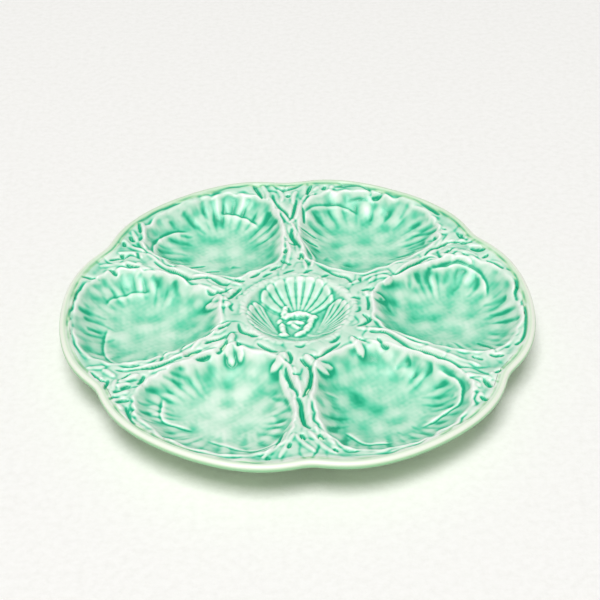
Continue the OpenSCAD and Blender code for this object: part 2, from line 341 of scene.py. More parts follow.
# Groove ends round each well, as seen: well 0 lies to the right, then anticlockwise
GROOVES = [
    [(54, 22), (60, 29), (70.5, 36), (76, 33), (88, 35), (97, 28), (103, 18), (110, 6), (112, -8),
     (108, -20), (104, -32), (97, -39), (88, -40), (78, -34), (66, -31)],
    [(66, 53), (70, 62), (72, 72), (72, 83), (66, 93), (58, 104), (46, 108), (34, 110), (24, 111),
     (14, 108), (7, 96), (3, 84)],
    [(-14, 90), (-20, 103), (-28, 108), (-36, 111), (-43, 110), (-50, 107), (-57, 105), (-66, 96),
     (-74, 87), (-80, 76), (-82, 64), (-80, 52)],
    [(-76, 32), (-84, 31), (-90, 30), (-98, 31), (-104, 28), (-109, 22), (-113, 15), (-116, 4),
     (-116, -8), (-110, -13), (-110, -24), (-106, -34), (-98, -40), (-86, -43), (-70, -42), (-60, -33)],
    [(-66, -50), (-75, -61), (-80, -67), (-84, -73), (-82, -79), (-80, -84), (-72, -94), (-62, -99),
     (-50, -102), (-38, -106), (-24, -108), (-14, -98), (-9, -92), (-5, -86), (-4, -73)],
    [(10, -72), (10, -82), (14, -92), (24, -101), (34, -104), (44, -106), (53, -103), (62, -97),
     (72, -91), (80, -80), (82, -68), (76, -56), (68, -48), (57, -41)],
]
# Edges of the second, inner shells. Each row holds the well, the height, how far it
# fades, and then x and y of each point as seen
LEDGES = [
    (0, 0.9, 5, 70, 33, 76, 33, 82, 35, 87, 38, 91, 38, 95, 35, 99, 31, 100, 26, 101.5, 20, 100.5, 8),
    (0, 0.8, 4, 104, 42, 110, 40, 113, 33, 117, 27, 119, 20, 115, 14, 117, 9, 119, -2),
    (1, 0.6, 5, 4, 78, 5, 86, 7, 93, 11, 96, 20, 97, 27, 95, 32, 91, 36, 85),
    (2, 0.9, 5, -45, 90, -40, 88, -36, 87, -30, 84, -26, 80, -22, 74),
    (2, 0.9, 5, -78, 48, -80, 55, -79, 61, -76, 66, -72, 69, -66, 71, -60, 70),
    (3, 0.55, 5, -101, 3, -100, 8, -97, 11, -91, 11, -88, 14, -83, 13, -78, 15),
    (3, 0.7, 6, -97, -14, -99, -22, -99, -30, -98, -37, -94, -42, -87, -45, -78, -45, -70, -44),
    (4, 0.9, 5, -66, -70, -66, -78, -66.5, -84, -64, -88, -58, -91, -50, -94),
    (4, 0.7, 4, -44, -100, -37, -104, -30, -107, -22, -108, -12, -104, -8, -97),
    (5, 1.1, 5, 68, -52, 71, -53, 78, -58, 81, -63, 80, -69, 79, -75, 73, -81, 66, -88, 58, -93),
    (5, 0.8, 4, 22, -96, 25, -99, 31, -104, 38, -104, 45, -103),
]
# Creases: half width, depth, x and y of each point as seen
CREASES = [
    # inside the rim, at the back, the right and the left
    (1.3, 1.3, -92, 79, -83, 89, -75, 96, -66, 99),
    (1.0, 1.1, -63, 104, -55, 112, -45, 114, -35, 116, -27, 117), (1.5, 1.4, 72, 98, 76, 93, 82, 85),
    (1.1, 1.1, 90, 68, 92, 64, 96, 60), (1.2, 1.3, 104, 42, 109, 38, 113, 33),
    (1.3, 1.3, 116, 26, 119, 20, 116, 12, 118, 3), (1.3, 1.4, 120, 0, 120, -15, 117, -25, 112, -33),
    (0.9, 0.5, -115, 28, -119, 12, -118, -16, -113, -34, -107, -41),
    (0.8, 0.5, -72, -97, -62, -104, -50, -109, -38, -113, -26, -114),
    (0.8, 0.5, 26, -113, 38, -112, 50, -109, 61, -102, 70, -96),
    # leaves on the ring
    (1.1, 0.65, -19, 28, -16, 31, -13, 31), (1.1, 0.65, -8, 30, -5, 33, -1, 34),
    (1.1, 0.65, 3, 30, 6, 34, 9, 33), (1.1, 0.65, 13, 27, 16, 30, 19, 30),
    (1.1, 0.6, -32, 8, -33, 12, -29, 14), (1.1, 0.6, -34, -2, -36, 2, -34, 5),
    (1.1, 0.6, 28, 8, 31, 10, 34, 8), (1.1, 0.6, 30, -4, 33, -2, 33, 2),
    (1.1, 0.6, -22, -24, -25, -22, -27, -18), (1.1, 0.6, 16, -29, 19, -27, 22, -23),
    (1.1, 0.6, -2, -31, 2, -32, 4, -29),
    # round the hub
    (1.2, 1.6, -49, 18, -46, 13, -40, 15, -35, 18), (1.1, 1.4, -47, 27, -44, 25, -41, 22, -37, 21),
    (1.0, 1.3, -34, 27, -32, 25, -28, 24.5), (1.0, 1.2, -26, 27, -20, 32),
    (1.0, 1.3, -15, 33, -12, 37, -9, 38), (0.9, 1.2, -9, 44, -6, 41, -3, 39),
    (1.5, 2.0, 0, 45, 3, 46, 2, 50), (0.8, 1.2, 3, 46, 6, 42, 7, 38),
    (1.0, 1.3, 12, 38, 17, 33, 22, 29, 28, 27, 30, 20), (1.4, 1.4, 33, 25, 35, 25),
    (0.9, 1.1, 34, 15, 38, 17, 42, 17), (0.9, 1.2, 37, 10, 38, 4, 37, -2),
    (1.3, 1.7, 34, -5, 39, -10, 31, -15), (1.1, 1.5, 37, -20, 45, -20, 50, -25),
    (0.9, 1.2, 28, -24, 38, -29), (1.0, 1.3, 41, -25, 44, -32, 47, -33),
    (1.1, 1.6, -37, 8, -34, 13, -30, 19), (1.1, 1.7, -31, -12, -30, -18, -25, -21, -20, -23),
    (1.3, 1.9, -36, -26, -39, -34, -42, -37), (1.4, 1.8, -31, -28, -30, -32),
    (1.1, 1.6, -21, -28, -18, -31, -10, -36), (1.0, 1.4, -5, -35, -3, -40, -4, -45),
    (1.2, 1.7, 6, -38, 11, -40, 15, -35, 22, -28), (1.1, 1.7, 1, -41, 5, -46, 7, -50),
    # ridge to the lower right
    (1.1, 1.9, 37, -19, 45, -20, 50, -25, 54, -29, 58, -33, 65, -36, 70, -39, 75, -42, 79, -45, 83, -49,
     86, -49), (1.2, 1.8, 92, -58, 96, -65), (1.1, 1.6, 89, -71, 93, -75), (1.0, 1.5, 98, -55, 102, -52),
    (0.9, 1.2, 92, -29, 98, -31, 101, -38), (1.2, 1.8, 97, -39, 105, -40), (0.9, 1.3, 88, -40, 94, -43),
    (0.9, 1.3, 111, -32, 116, -28),
    # ridge to the front
    (1.1, 1.7, -6, -47, -6, -53, -4, -58, -2, -64, 0, -70),
    (1.4, 2.1, 0, -70, 1.5, -75, 1.5, -80, 2, -85, 3, -90, 6, -94),
    (1.3, 2.0, 5, -47, 7, -52, 6, -60, 4, -66, 2, -71), (0.9, 1.2, -3, -52, 0, -54),
    (1.1, 1.6, 1, -97, 3, -101), (1.0, 1.4, -4, -103, -5, -107), (1.3, 1.9, 10, -97, 11, -101),
    (1.0, 1.4, 17, -107, 18, -110), (1.0, 1.4, -15, -112, -14, -115),
    (0.9, 1.4, -8, -98, -10, -104, -13, -109),
    # ridge to the lower left
    (1.1, 1.9, -36, -21, -41, -25, -45, -26, -48, -29), (1.5, 2.1, -49, -33, -52, -34, -55, -36, -58, -39),
    (1.0, 1.7, -58, -39, -65, -42, -70, -46, -78, -48, -86, -49, -92, -49),
    (1.0, 1.4, -53, -41, -49, -40, -44, -38), (1.0, 1.5, -70, -43, -69, -39, -67, -35),
    (1.0, 1.2, -60, -35, -58, -30), (0.9, 1.3, -45, -17, -41, -13, -36, -10),
    (0.9, 1.2, -43, -18, -38, -15, -35, -11), (1.0, 1.6, -104, -51, -99, -57, -95, -58),
    (1.0, 1.5, -95, -56, -95, -60, -96, -66), (1.0, 1.6, -88, -56, -86, -54, -84, -51),
    (1.0, 1.6, -77, -53, -78, -57, -80, -60), (0.9, 1.3, -88, -64, -86, -62, -83, -61),
    (1.1, 1.7, -90, -74, -87, -72, -83, -72), (1.0, 1.3, -84, -76, -83, -81, -81, -87, -78, -91),
    # ridge to the upper left
    (1.2, 2.0, -46, 27, -50, 29, -55, 28, -58, 28, -62, 31, -66, 33, -70, 35, -75, 39, -79, 43),
    (1.1, 1.6, -63, 31, -60, 27, -57, 24, -53, 21), (0.9, 1.3, -58, 35, -50, 34, -42, 33),
    (0.9, 1.3, -76, 47, -72, 42, -67, 38, -58, 38, -50, 38), (1.1, 1.4, -94, 40, -90, 38.5, -86, 38),
    (0.9, 1.2, -85, 35.5, -80, 36, -76, 33), (1.0, 1.4, -97, 61, -96, 57),
    (1.0, 1.6, -94, 67, -93, 64, -91, 62), (1.0, 1.4, -90, 79, -89, 74, -88, 70),
    (1.2, 1.6, -98, 48, -96, 49), (1.0, 1.4, -104, 44, -99, 46, -93, 48), (1.0, 1.4, -89, 51, -87, 46),
    (0.8, 1.1, -92, 60, -86, 55, -82, 50), (1.4, 1.7, -103, 36, -101, 35, -98, 32),
    (0.9, 1.1, -118, 28, -112, 28, -107, 28),
    # ridge to the back
    (1.0, 1.6, -14, 109, -13, 101, -10, 96, -6, 90, -4, 83), (1.0, 1.6, -4, 83, -2, 88, -1, 95, 0, 103),
    (1.0, 1.4, 3, 97, 4, 88, 4, 78), (1.5, 1.6, -5, 59, 0, 59, -3, 66, -3, 74), (1.3, 1.7, -7, 50, -6, 54),
    (0.9, 1.2, 1, 76, 6, 70, 11, 63), (0.9, 1.2, 3, 65, 8, 60, 12, 55),
    (1.1, 1.5, -26, 117, -22, 112, -20, 104), (0.9, 1.1, -15, 117, -10, 112, -6, 112, -1, 114, 4, 117),
    (1.0, 1.3, -5, 108, -5, 105), (1.2, 1.6, 6, 108, 7, 113, 9, 117), (1.1, 1.3, 15, 112, 17, 116),
    (1.2, 1.3, 22, 115, 30, 117, 37, 116, 43, 112, 44, 107), (1.6, 1.9, 44, 107, 51, 107),
    (0.9, 0.35, 30, 103, 36, 106, 42, 104),
    # ridge to the upper right
    (1.1, 1.8, 50, 26, 55, 31, 60, 36, 66, 40, 70, 44.5, 74, 45, 77, 43),
    (1.0, 1.6, 70, 44, 72, 50, 75, 53, 78, 55, 84, 59, 90, 60, 99, 57), (1.0, 1.4, 81, 47, 84, 51, 88, 54),
    (1.2, 1.7, 96, 52, 105, 51.5), (0.9, 1.3, 102, 44, 106, 47), (1.2, 1.3, 77, 64, 78, 65),
    (1.2, 1.3, 83, 71, 84, 72), (1.2, 1.3, 92, 65, 93, 66),
]
# Raised stems, lobes and leaves: half width, height, x and y of each point as seen
STEMS = [
    # hub leaves that hang over the wells' inner edges
    (2.4, 1.3, 36, 14, 41, 11, 46, 8), (2.4, 1.4, -36, 5, -42, 4, -48, 3), (2.2, 1.2, -38, 9, -45, 8),
    (2.0, 1.5, -34, -20, -35, -30, -36, -38), (2.3, 1.5, -35, -30, -34, -39, -33, -45),
    (2.0, 1.3, -33, -27, -30, -35, -29, -42), (2.2, 1.4, 28, -24, 31, -31, 33, -39),
    (2.4, 1.4, -7, -36, -9, -43, -13, -50), (2.2, 1.4, 4, -38, 9, -45, 15, -53),
    (1.8, 1.2, 9, -45, 13, -47, 17, -48), (1.4, 1.0, -36, -10, -41, -14, -45, -19),
    (1.3, 1.0, -37, -14, -41, -19, -45, -20, -50, -25, -54, -31),
    (1.6, 1.2, 39, 24, 43, 28, 48, 29, 51, 26, 47, 22), (1.4, 0.9, 31, -16, 37, -17, 44, -17, 51, -22),
    (1.3, 1.0, -30, 22, -36, 24, -43, 29, -50, 31, -57, 31), (1.2, 0.9, -33, 17, -40, 17, -46, 21),
    (1.3, 1.0, 28, 22, 36, 27, 44, 31, 50, 33), (1.2, 1.0, -8, 36, -5, 45, -4, 55, -6, 62),
    (1.2, 1.0, 5, 36, 4, 44, 5, 52, 1, 62, -2, 72), (1.0, 0.9, 8, 38, 10, 45, 6, 54, 2, 64, -3, 80),
    # stems along the ridges
    (1.3, 0.9, 54, -31, 60, -36, 68, -41, 75, -45, 82, -51),
    (1.2, 0.9, 50, -22, 57, -27, 66, -32, 75, -37, 84, -43, 92, -47),
    (1.3, 0.9, -2, -47, -1, -54, 0, -60, 1, -66), (1.2, 0.8, -9, -50, -8, -58, -6, -66, -3, -74, -1, -84),
    (1.2, 0.8, 9, -54, 9, -62, 6, -70, 5, -80, 6, -88),
    (1.2, 1.0, -56, -35, -63, -39, -70, -43, -78, -46, -88, -47), (1.1, 0.9, -60, -43, -68, -47, -75, -50),
    (1.1, 0.9, -66, 36, -72, 39, -78, 46, -83, 51),
    (1.2, 0.9, -60, 28, -68, 31, -76, 35, -86, 40, -95, 44), (1.2, 0.9, -6, 66, -8, 76, -10, 85, -14, 92),
    (1.1, 0.9, -4, 80, -8, 90, -12, 98, -17, 108), (1.1, 0.9, -4, 80, 0, 86, 2, 95, 3, 104, 8, 112),
    (1.2, 0.9, 52, 29, 60, 39, 68, 45, 74, 49, 82, 56), (1.1, 0.9, 58, 33, 66, 38, 74, 42, 84, 44, 92, 46),
    # leaves by the notches
    (2.0, 1.1, 72, 47, 78, 44), (2.1, 1.1, 80, 48, 87, 44), (2.0, 1.1, 88, 48, 96, 41),
    (1.8, 1.0, 85, 54, 92, 50, 99, 47), (1.7, 1.0, 84, 58, 88, 62), (1.7, 1.0, 90, 60, 95, 64),
    (1.8, 1.0, 95, 57, 103, 56), (2.0, 1.1, 84, -54, 90, -56, 96, -58), (1.9, 1.1, 86, -58, 90, -63),
    (1.8, 1.0, 88, -60, 87, -66), (1.8, 1.0, 90, -68, 88, -74), (1.7, 1.0, 96, -54, 101, -57),
    (1.4, 1.0, 5, -95, 12, -106, 18, -110), (1.3, 1.0, -1, -97, 3, -104, 8, -109),
    (1.4, 1.0, -6, -95, -11, -106, -17, -112), (1.2, 0.9, -2, -96, -4, -100, -9, -112),
    (1.6, 1.0, 8, -92, 13, -97, 17, -103), (1.9, 1.2, -80, -53, -84, -54, -89, -58),
    (1.7, 1.1, -84, -59, -90, -61), (1.7, 1.1, -84, -65, -91, -68), (1.8, 1.1, -85, -69, -91, -72),
    (1.6, 1.0, -98, -48, -92, -53), (1.6, 1.0, -106, -47, -98, -46), (1.5, 1.0, -86, -78, -88, -75),
    (1.5, 1.0, -98, -54, -103, -58), (1.4, 1.0, -91, -56, -92, -64, -93, -70),
    (1.5, 1.0, -86, 48, -92, 52, -99, 52), (1.5, 1.0, -85, 53, -92, 57, -98, 64),
    (1.4, 1.0, -84, 57, -90, 64, -93, 72), (1.4, 0.9, -94, 42, -101, 42, -108, 40),
    (1.5, 1.0, -86, 66, -87, 74, -88, 80), (1.5, 0.9, -88, 43, -86, 41),
    (1.4, 1.0, -17, 104, -17, 112, -20, 117), (1.4, 1.0, -9, 102, -8, 108, -11, 114),
    (1.4, 1.0, -2, 100, -2, 108, 0, 112), (1.5, 1.0, 4, 100, 6, 105, 10, 110),
    (1.4, 0.9, 10, 113, 13, 116), (1.4, 0.9, 19, 112, 21, 117),
]
# Broad grooves between the shells' ribs: half width, depth, x and y as seen
STREAKS = [
    # upper left well
    (2.0, 1.0, -57, 107, -54, 94, -50, 82), (1.7, 0.8, -50, 107, -47, 94, -45, 82),
    (1.4, 0.6, -44, 108, -42, 96, -41, 86), (2.5, 1.1, -35, 110, -36, 98, -37, 87),
    (1.6, 0.8, -28, 107, -30, 95, -32, 85), (1.6, 1.0, -25, 116, -21, 110, -20, 104),
    (2.0, 0.9, -15, 91, -19, 82, -22, 74), (1.6, 0.6, -10, 84, -14, 76, -17, 68),
    (2.1, 0.9, -66, 94, -61, 84, -56, 76, -51, 68), (1.8, 0.5, -73, 84, -69, 74),
    (2.4, 0.8, -77, 65, -66, 62, -58, 58), (2.0, 0.9, -78, 55, -68, 51, -60, 48),
    (1.8, 0.8, -75, 48, -68, 43, -63, 40), (1.5, 0.6, -66, 68, -58, 66), (2.2, 0.4, -18, 62, -17, 52),
    (1.6, 0.5, -36, 37, -30, 36),
    # upper right well
    (2.5, 0.4, 11, 93, 12, 84, 15, 74), (2.3, 0.45, 20, 94, 22, 82, 24, 72),
    (2.2, 0.5, 30, 93, 32, 82, 33, 72), (2.0, 0.55, 46, 103, 44, 92, 42, 80),
    (2.7, 1.1, 59, 106, 56, 95, 52, 86, 50, 80), (1.5, 0.6, 66, 100, 62, 90, 58, 82),
    (2.0, 0.8, 76, 84, 69, 79, 63, 74), (1.8, 0.8, 80, 78, 72, 73, 65, 70),
    (1.8, 0.8, 82, 71, 74, 70, 64, 66), (1.6, 0.8, 79, 63, 72, 60), (1.8, 0.9, 72, 60, 66, 56, 60, 52),
    (1.6, 0.7, 66, 51, 58, 46, 50, 42), (1.7, 0.8, 5, 64, 9, 56, 13, 50), (1.6, 0.8, 1, 74, 6, 67, 12, 60),
    (2.4, 0.6, 27, 37, 29, 44), (2.5, 0.5, 15, 44, 20, 40),
    # right well
    (2.5, 1.1, 71, 37, 70, 28, 69, 20), (1.8, 0.8, 60, 32, 61, 24, 60, 16), (1.4, 0.5, 65, 31, 65, 20),
    (1.8, 0.5, 83, 36, 81, 26, 78, 18), (1.8, 0.6, 92, 34, 88, 22, 84, 14),
    (1.6, 0.6, 99, 28, 96, 16, 90, 8), (2.0, 0.9, 112, 10, 105, 5, 98, 1),
    (2.0, 1.0, 119, 1, 110, -2, 100, -7), (1.8, 0.8, 117, -8, 108, -11, 101, -14),
    (2.4, 0.8, 114, -24, 104, -23, 100, -22), (1.5, 0.8, 108, -34, 100, -30, 94, -28),
    (1.2, 0.9, 88, -36, 82, -31, 78, -29), (1.2, 0.8, 78, -36, 70, -31, 60, -27, 52, -23),
    (2.2, 0.9, 44, 8, 47, 2, 49, -4),
    # lower right well
    (2.2, 1.0, 57, -42, 53, -46, 49, -50), (2.2, 1.0, 68, -49, 62, -53, 57, -56),
    (1.5, 0.5, 79, -60, 74, -62, 66, -64), (1.5, 0.5, 77, -70, 68, -71, 60, -72),
    (1.4, 0.5, 76, -77, 68, -77, 60, -77), (1.6, 0.8, 65, -98, 58, -94, 54, -92),
    (1.8, 0.9, 57, -104, 51, -99, 47, -96), (1.6, 0.6, 45, -107, 42, -102), (1.8, 0.8, 34, -111, 34, -104),
    (1.8, 0.8, 27, -110, 28, -103), (2.0, 0.9, 20, -107, 23, -98), (2.5, 1.1, 9, -99, 15, -95, 20, -91),
    (2.8, 0.8, 16, -69, 17, -78, 16, -87), (1.8, 0.5, 28, -34, 28, -42),
    # lower left well
    (1.8, 0.9, -77, -61, -68, -65, -61, -67), (0.9, 0.5, -68, -54, -62, -58, -56, -61),
    (0.9, 0.5, -66, -50, -60, -53, -55, -56), (0.9, 0.5, -60, -47, -55, -50),
    (1.2, 0.7, -84, -72, -76, -74, -70, -75), (1.4, 0.8, -84, -78, -75, -80, -67, -80),
    (1.2, 0.6, -82, -84, -74, -86, -68, -88), (1.4, 0.5, -76, -95, -70, -92, -64, -93),
    (1.7, 0.8, -65, -99, -57, -98, -50, -97), (1.8, 0.4, -38, -104, -37, -96),
    (1.8, 0.4, -26, -105, -25, -96), (1.6, 0.4, -17, -103, -20, -95),
    (1.8, 0.9, -3, -74, -8, -73, -13, -71), (2.4, 1.2, -3, -89, -8, -87, -12, -84),
    (1.8, 0.7, -5, -92, -10, -92, -13, -91), (1.4, 0.4, -4, -63, -9, -62),
    # left well
    (1.8, 0.6, -113, 25, -106, 18, -102, 13), (1.8, 0.7, -107, 30, -101, 20, -96, 14),
    (1.8, 0.6, -97, 32, -93, 23, -90, 16), (2.0, 0.8, -86, 33, -82, 22, -79, 14),
    (2.3, 0.7, -78, 33, -74, 20, -72, 10), (1.8, 0.6, -67, 25, -65, 16, -62, 10),
    (1.6, 0.5, -118, 10, -110, 3), (1.7, 0.7, -117, 4, -108, -2, -100, -8),
    (1.5, 0.6, -113, -4, -104, -10, -97, -16, -94, -19), (1.4, 0.5, -110, -14, -103, -18, -100, -22),
    (1.2, 0.5, -100, -26, -94, -25),
]
# Deep pools of glaze on the floors: strength, radius, point as seen
POOLS = [
    (0.35, 5.5, (30, -73)), (0.30, 6.0, (39, -80)), (0.20, 8.0, (28, -87)), (0.10, 5.0, (13, -60)),
    (0.20, 6.0, (-47, -54)), (0.20, 6.0, (62, -12)), (0.20, 6.5, (76, -9)), (0.18, 5.0, (46, 3)),
    (0.18, 5.0, (74, 26)), (0.14, 5.0, (28, 38)), (0.06, 10.0, (33, 58)), (0.08, 8.0, (36, 68)),
    (0.14, 6.0, (-53, 66)), (0.12, 7.0, (-44, 80)), (0.12, 7.0, (-62, 50)), (0.10, 6.0, (-60, 62)),
    (0.10, 6.0, (-70, 16)), (0.07, 9.0, (-76, -6)), (0.10, 6.0, (-107, -24)), (0.20, 3.0, (-117, -7)),
    (0.10, 5.0, (-36, 36)), (0.10, 6.0, (52, -20)),
]
# How much darker each well's glaze is than the rest; the lower left well is painted paler, a painted sheen
WELL_TINT_AND_SHEEN = [0.01, 0.01, 0.0, -0.02, -0.10, 0.0]

# The sprig in the cup: half width, height, x and y of each point as seen
SPRIG = [
    (2.0, 2.2, -7, 1, -6, 0), (1.2, 1.4, -6, -1, -8, -5), (1.5, 2.0, -8, -6, -4, -5, -2, -4),
    (1.7, 2.3, -2, -4, 2, -3.5, 5, -5), (1.5, 2.2, 5, -5, 8, -6.5, 10, -6),
    (1.4, 2.0, 8, -7, 6.5, -10, 7, -12), (1.5, 2.2, 7, -12, 5, -15, 4, -18),
    (1.4, 2.0, 4, -18, 1, -19.5, -1, -21), (1.2, 1.5, -5, -11, -1, -10, 3, -11),
    (1.0, 1.3, -3, -12, -1, -14, 1, -15), (1.3, 2.0, -8, -12, -8, -16, -7, -19),
    (1.5, 2.1, -9, -20.5, -7, -20, -5, -20.5), (0.9, 1.2, -9, -8, -10, -11),
]
# The scallops in the cup: where each one's ribs run together, its outer edge and its
# grooves' outer ends, as seen
SCALLOPS = {
    "back": (
        (0, -9), [(-19, 8), (-19, 12), (-17, 18), (-12, 23), (-6, 26), (0, 27), (6, 27), (12, 25), (16, 20),
                  (18.5, 12), (18.5, 8)],
        [(-17, 17), (-13, 21), (-7, 25), (-1, 24), (4, 24), (9, 20), (13, 15), (17, 10)],
    ),
    "left": (
        (-9, -22), [(-21, 5), (-24.5, 4), (-26.5, -3), (-26.5, -8), (-24, -13), (-20, -18), (-15, -21.5),
                    (-11, -23)],
        [(-21, 4), (-22.5, 0), (-25, -3), (-25, -7), (-24, -11), (-22, -15), (-18, -19)],
    ),
    "right": (
        (10, -19), [(19, 6), (24, 7.5), (27, 3), (27.5, -2), (26, -9), (24, -14), (20, -19), (14, -22)],
        [(20, 5), (23, 4), (25, 1), (26, -3), (25.5, -7), (24, -11), (21, -16), (17, -20)],
    ),
}
# Lines that part the scallops, from the cup's edge inwards, as seen
BACK_LEFT, BACK_RIGHT, LEFT_RIGHT = [(-22, 6), (-9, -6)], [(21, 8), (9, -5)], [(1, -24), (1, 0)]


# The height field
# Radius and height up the cup: first its broad form, then under its relief
CUP_FORM = [(0, 13.5), (CUP_FLOOR_R, 13.6), (21.0, 16.6), (CUP_R, 21.0), (29, 22.3), (33, 22)]
CUP_WALL = [(0, 13.0), (CUP_FLOOR_R, 13.1), (14, 13.7), (18, 15.0), (22, 17.3), (CUP_R, 20.8), (27.6, 21.9),
            (28.6, 22.2)]
# The ribs round a well: how far round they go, the least and the usual gap between
# grooves, how far a groove sways, and each rib's power, strength and inner end and the
# share where it is full
RIBS_TO, LEAST_GAP, RIB_GAP, RIB_SWAY = 172.0, 4, 13.0, 1.2
RIB_POWER, RIB_STRENGTH, RIB_END, RIB_OUT = (1.2, 1.8), (0.45, 1.15), (0.40, 0.60), 0.92
# A shell: how its edge swells outwards, follows the ribs and wanders
EDGE_OUT, EDGE_OUT_GAIN, EDGE_RIB, RIB_MEAN, EDGE_WAVE = 0.048, 1.6, 0.034, 0.6, 0.010
# Its lip: lift, wave, lift beside the rim, roundness, inner start and bead
LIP_LIFT, LIP_WAVE, LIP_BY_RIM, LIP_ROUND, LIP_START, LIP_BEAD = 0.1, 0.25, 0.35, 0.42, -0.6, 0.42
# Its bowl: height over the lip, dents, flutes down and up, how fast they end outside, and
# how sharply the bowl meets the lip
BOWL_OVER, BOWL_DENT, FLUTE_DOWN, FLUTE_UP, FLUTE_FADE, LIP_BLEND = 0.3, 0.2, 0.80, 0.30, 0.45, 1.5
# The bed: ripple, rise beside the rim, the leaves' mean, the crease beside a lip, and how
# far it sinks under a shell
BED_RIPPLE, BED_BY_RIM, LEAF_MEAN, LIP_CREASE, BED_SINK = 0.25, 1.1, 0.62, 0.45, 3.0
# The ring round the cup: top, roundness, its leaves' height and mean, where it lies, how
# it wanders round the cup, and the radii where it starts, takes over and ends
RING_Z, RING_ROUND, RING_LEAF, RING_MEAN, RING_MID_R = 22.45, 0.16, 0.55, 0.65, 29.6
RING_SWAY, RING_SWAYS, RING_SWAY_A = 0.5, 5, 40
RING_FROM_R, RING_ALONE_R, RING_TO_R = 26, 28.2, 34
# The rim's inner side: roundness, the crease at its foot and where that lies, how sharply
# it meets the plate, and how high the plate reaches there at most
RIM_ROUND, RIM_CREASE, RIM_CREASE_IN, RIM_BLEND, BY_RIM_Z = 0.42, 0.42, 3.9, 3, 23.4
# How much wider and deeper than drawn each kind of stroke is cut
CREASE_WIDER, CREASE_DEEPER, SAG_WIDER, SAG_SHARE = 1.4, 1.25, 2.2, 0.35
STREAK_WIDER, STREAK_SHARE, SPRIG_WIDER, SPRIG_SHARE = 1.9, 0.62, 1.45, 0.8
# The shares of each kind of stroke that taper at its ends
CREASE_ENDS, SAG_ENDS, STREAK_ENDS, SPRIG_ENDS = (0.45, 0.45), (0.2, 0.2), (0.06, 0.8), (0.2, 0.2)
# Stems: lift of their points, height alone and what a leafy bed adds, and how a leaf, which
# is wider than LEAF_FROM_W, and a stem are rounded
STEM_LIFT, STEM_SHARE, STEM_LEAFY, LEAF_FROM_W, LEAF_SOFT, STEM_SOFT = 0.8, 0.68, 0.2, 1.7, 0.5, 0.8
SPRIG_LIFT, SPRIG_SOFT, SPRIG_ROUGH = 1.2, 1.0, 0.16
# The finest ripple of the whole surface, and how far the relief is softened
SKIN, SKIN_BLUR = 0.012, 0.4


def bowl_base():
    """The plate's broad form: bowls, cup and deck, with no relief."""
    bowl = FLOOR_Z + (LIP_Z - FLOOR_Z) * np.minimum(SHARE, 1.3) ** BOWL_POWER
    cup = np.interp(GR, *zip(*CUP_FORM))
    z = np.where(GR < CUP_FORM[-1][0], cup, np.minimum(bowl, BED_Z))
    return blur(z, 0.8)


def rib_angles(well, base, rng):
    """The grooves' angles round a well: those seen, and even ones in the gaps."""
    q = on_surface(GROOVES[well], base) - MIDDLES[well]
    seen = np.sort(half_turns(np.degrees(np.arctan2(q[:, 1], q[:, 0])) - SECTOR * well))
    angles = [-RIBS_TO]
    for a in list(seen) + [RIBS_TO]:
        start = angles[-1]
        gap = a - start
        if gap < LEAST_GAP:
            continue
        parts = max(1, int(round(gap / RIB_GAP)))
        for i in range(1, parts + 1):
            sway = rng.uniform(-RIB_SWAY, RIB_SWAY) if i < parts else 0
            angles.append(start + gap * i / parts + sway)
    return np.array(angles)


def flutes(base):
    """Rib profile round each well, 0 in a groove and 1 on a rib, and each rib's own
    inner end and strength."""
    rib, strength = np.ones_like(GX), np.ones_like(GX)
    inner = np.ones_like(GX)
    for k in range(WELLS):
        rng = np.random.default_rng(RIB_SEED + k)
        g = rib_angles(k, base, rng)
        n = len(g) - 1
        power, strong, ends = (rng.uniform(*limits, n) for limits in (RIB_POWER, RIB_STRENGTH, RIB_END))
        here = WELL_OF == k
        a = WELL_A[here]
        i = np.clip(np.searchsorted(g, a) - 1, 0, n - 1)
        u = np.clip((a - g[i]) / (g[i + 1] - g[i]), 0, 1)
        rib[here] = np.where(np.abs(a) > RIBS_TO, 1, 1 - np.abs(2 * u - 1) ** power[i])
        middles = 0.5 * (g[1:] + g[:-1])
        strength[here] = np.interp(a, middles, strong) * fall(np.abs(a), end=135, over=45)
        inner[here] = np.interp(a, middles, ends)
    return rib, inner, strength


def side_of(line, base):
    """Distance of each grid point from a line given as seen, positive on its left."""
    (ax, ay), (bx, by) = on_surface(line, base)
    length = math.hypot(bx - ax, by - ay)
    return ((bx - ax) * (GY - ay) - (by - ay) * (GX - ax)) / length


def scallop_fan(hinge_seen, edge_seen, ends_seen, base, crest=3.6, notch=0.9, groove=0.85):
    """The height of a scallop's fan: ribs that grow from its hinge to a raised edge."""
    hinge = on_surface([hinge_seen], base)[0]
    edge = rounded(on_surface(edge_seen, base))
    facing = math.degrees(math.atan2(edge[:, 1].mean() - hinge[1], edge[:, 0].mean() - hinge[0]))

    def bearing(x, y):
        return half_turns(np.degrees(np.arctan2(y - hinge[1], x - hinge[0])) - facing)

    a = bearing(GX, GY)
    far = np.hypot(GX - hinge[0], GY - hinge[1])
    turn = bearing(edge[:, 0], edge[:, 1])
    order = np.argsort(turn)
    limit = np.interp(a, turn[order], np.hypot(edge[:, 0] - hinge[0], edge[:, 1] - hinge[1])[order])
    ends = on_surface(ends_seen, base)
    g = np.sort(bearing(ends[:, 0], ends[:, 1]))
    g = np.concatenate([[turn.min() - 4], g, [turn.max() + 4]])
    i = np.clip(np.searchsorted(g, a) - 1, 0, len(g) - 2)
    u = np.clip((a - g[i]) / (g[i + 1] - g[i]), 0, 1)
    rib = 1 - np.abs(2 * u - 1) ** crest
    past = far - (limit - notch * (1 - rib))
    grow = rise(far, start=3.5, over=8.0)
    lift = swell(grow, 0.5) + 0.35 * bell(past, at=-1.2, width=1.0)
    inside = 1 - rise(past, start=-0.2, over=1.0)
    return inside * (lift - groove * (1 - rib) * swell(grow, 0.35))


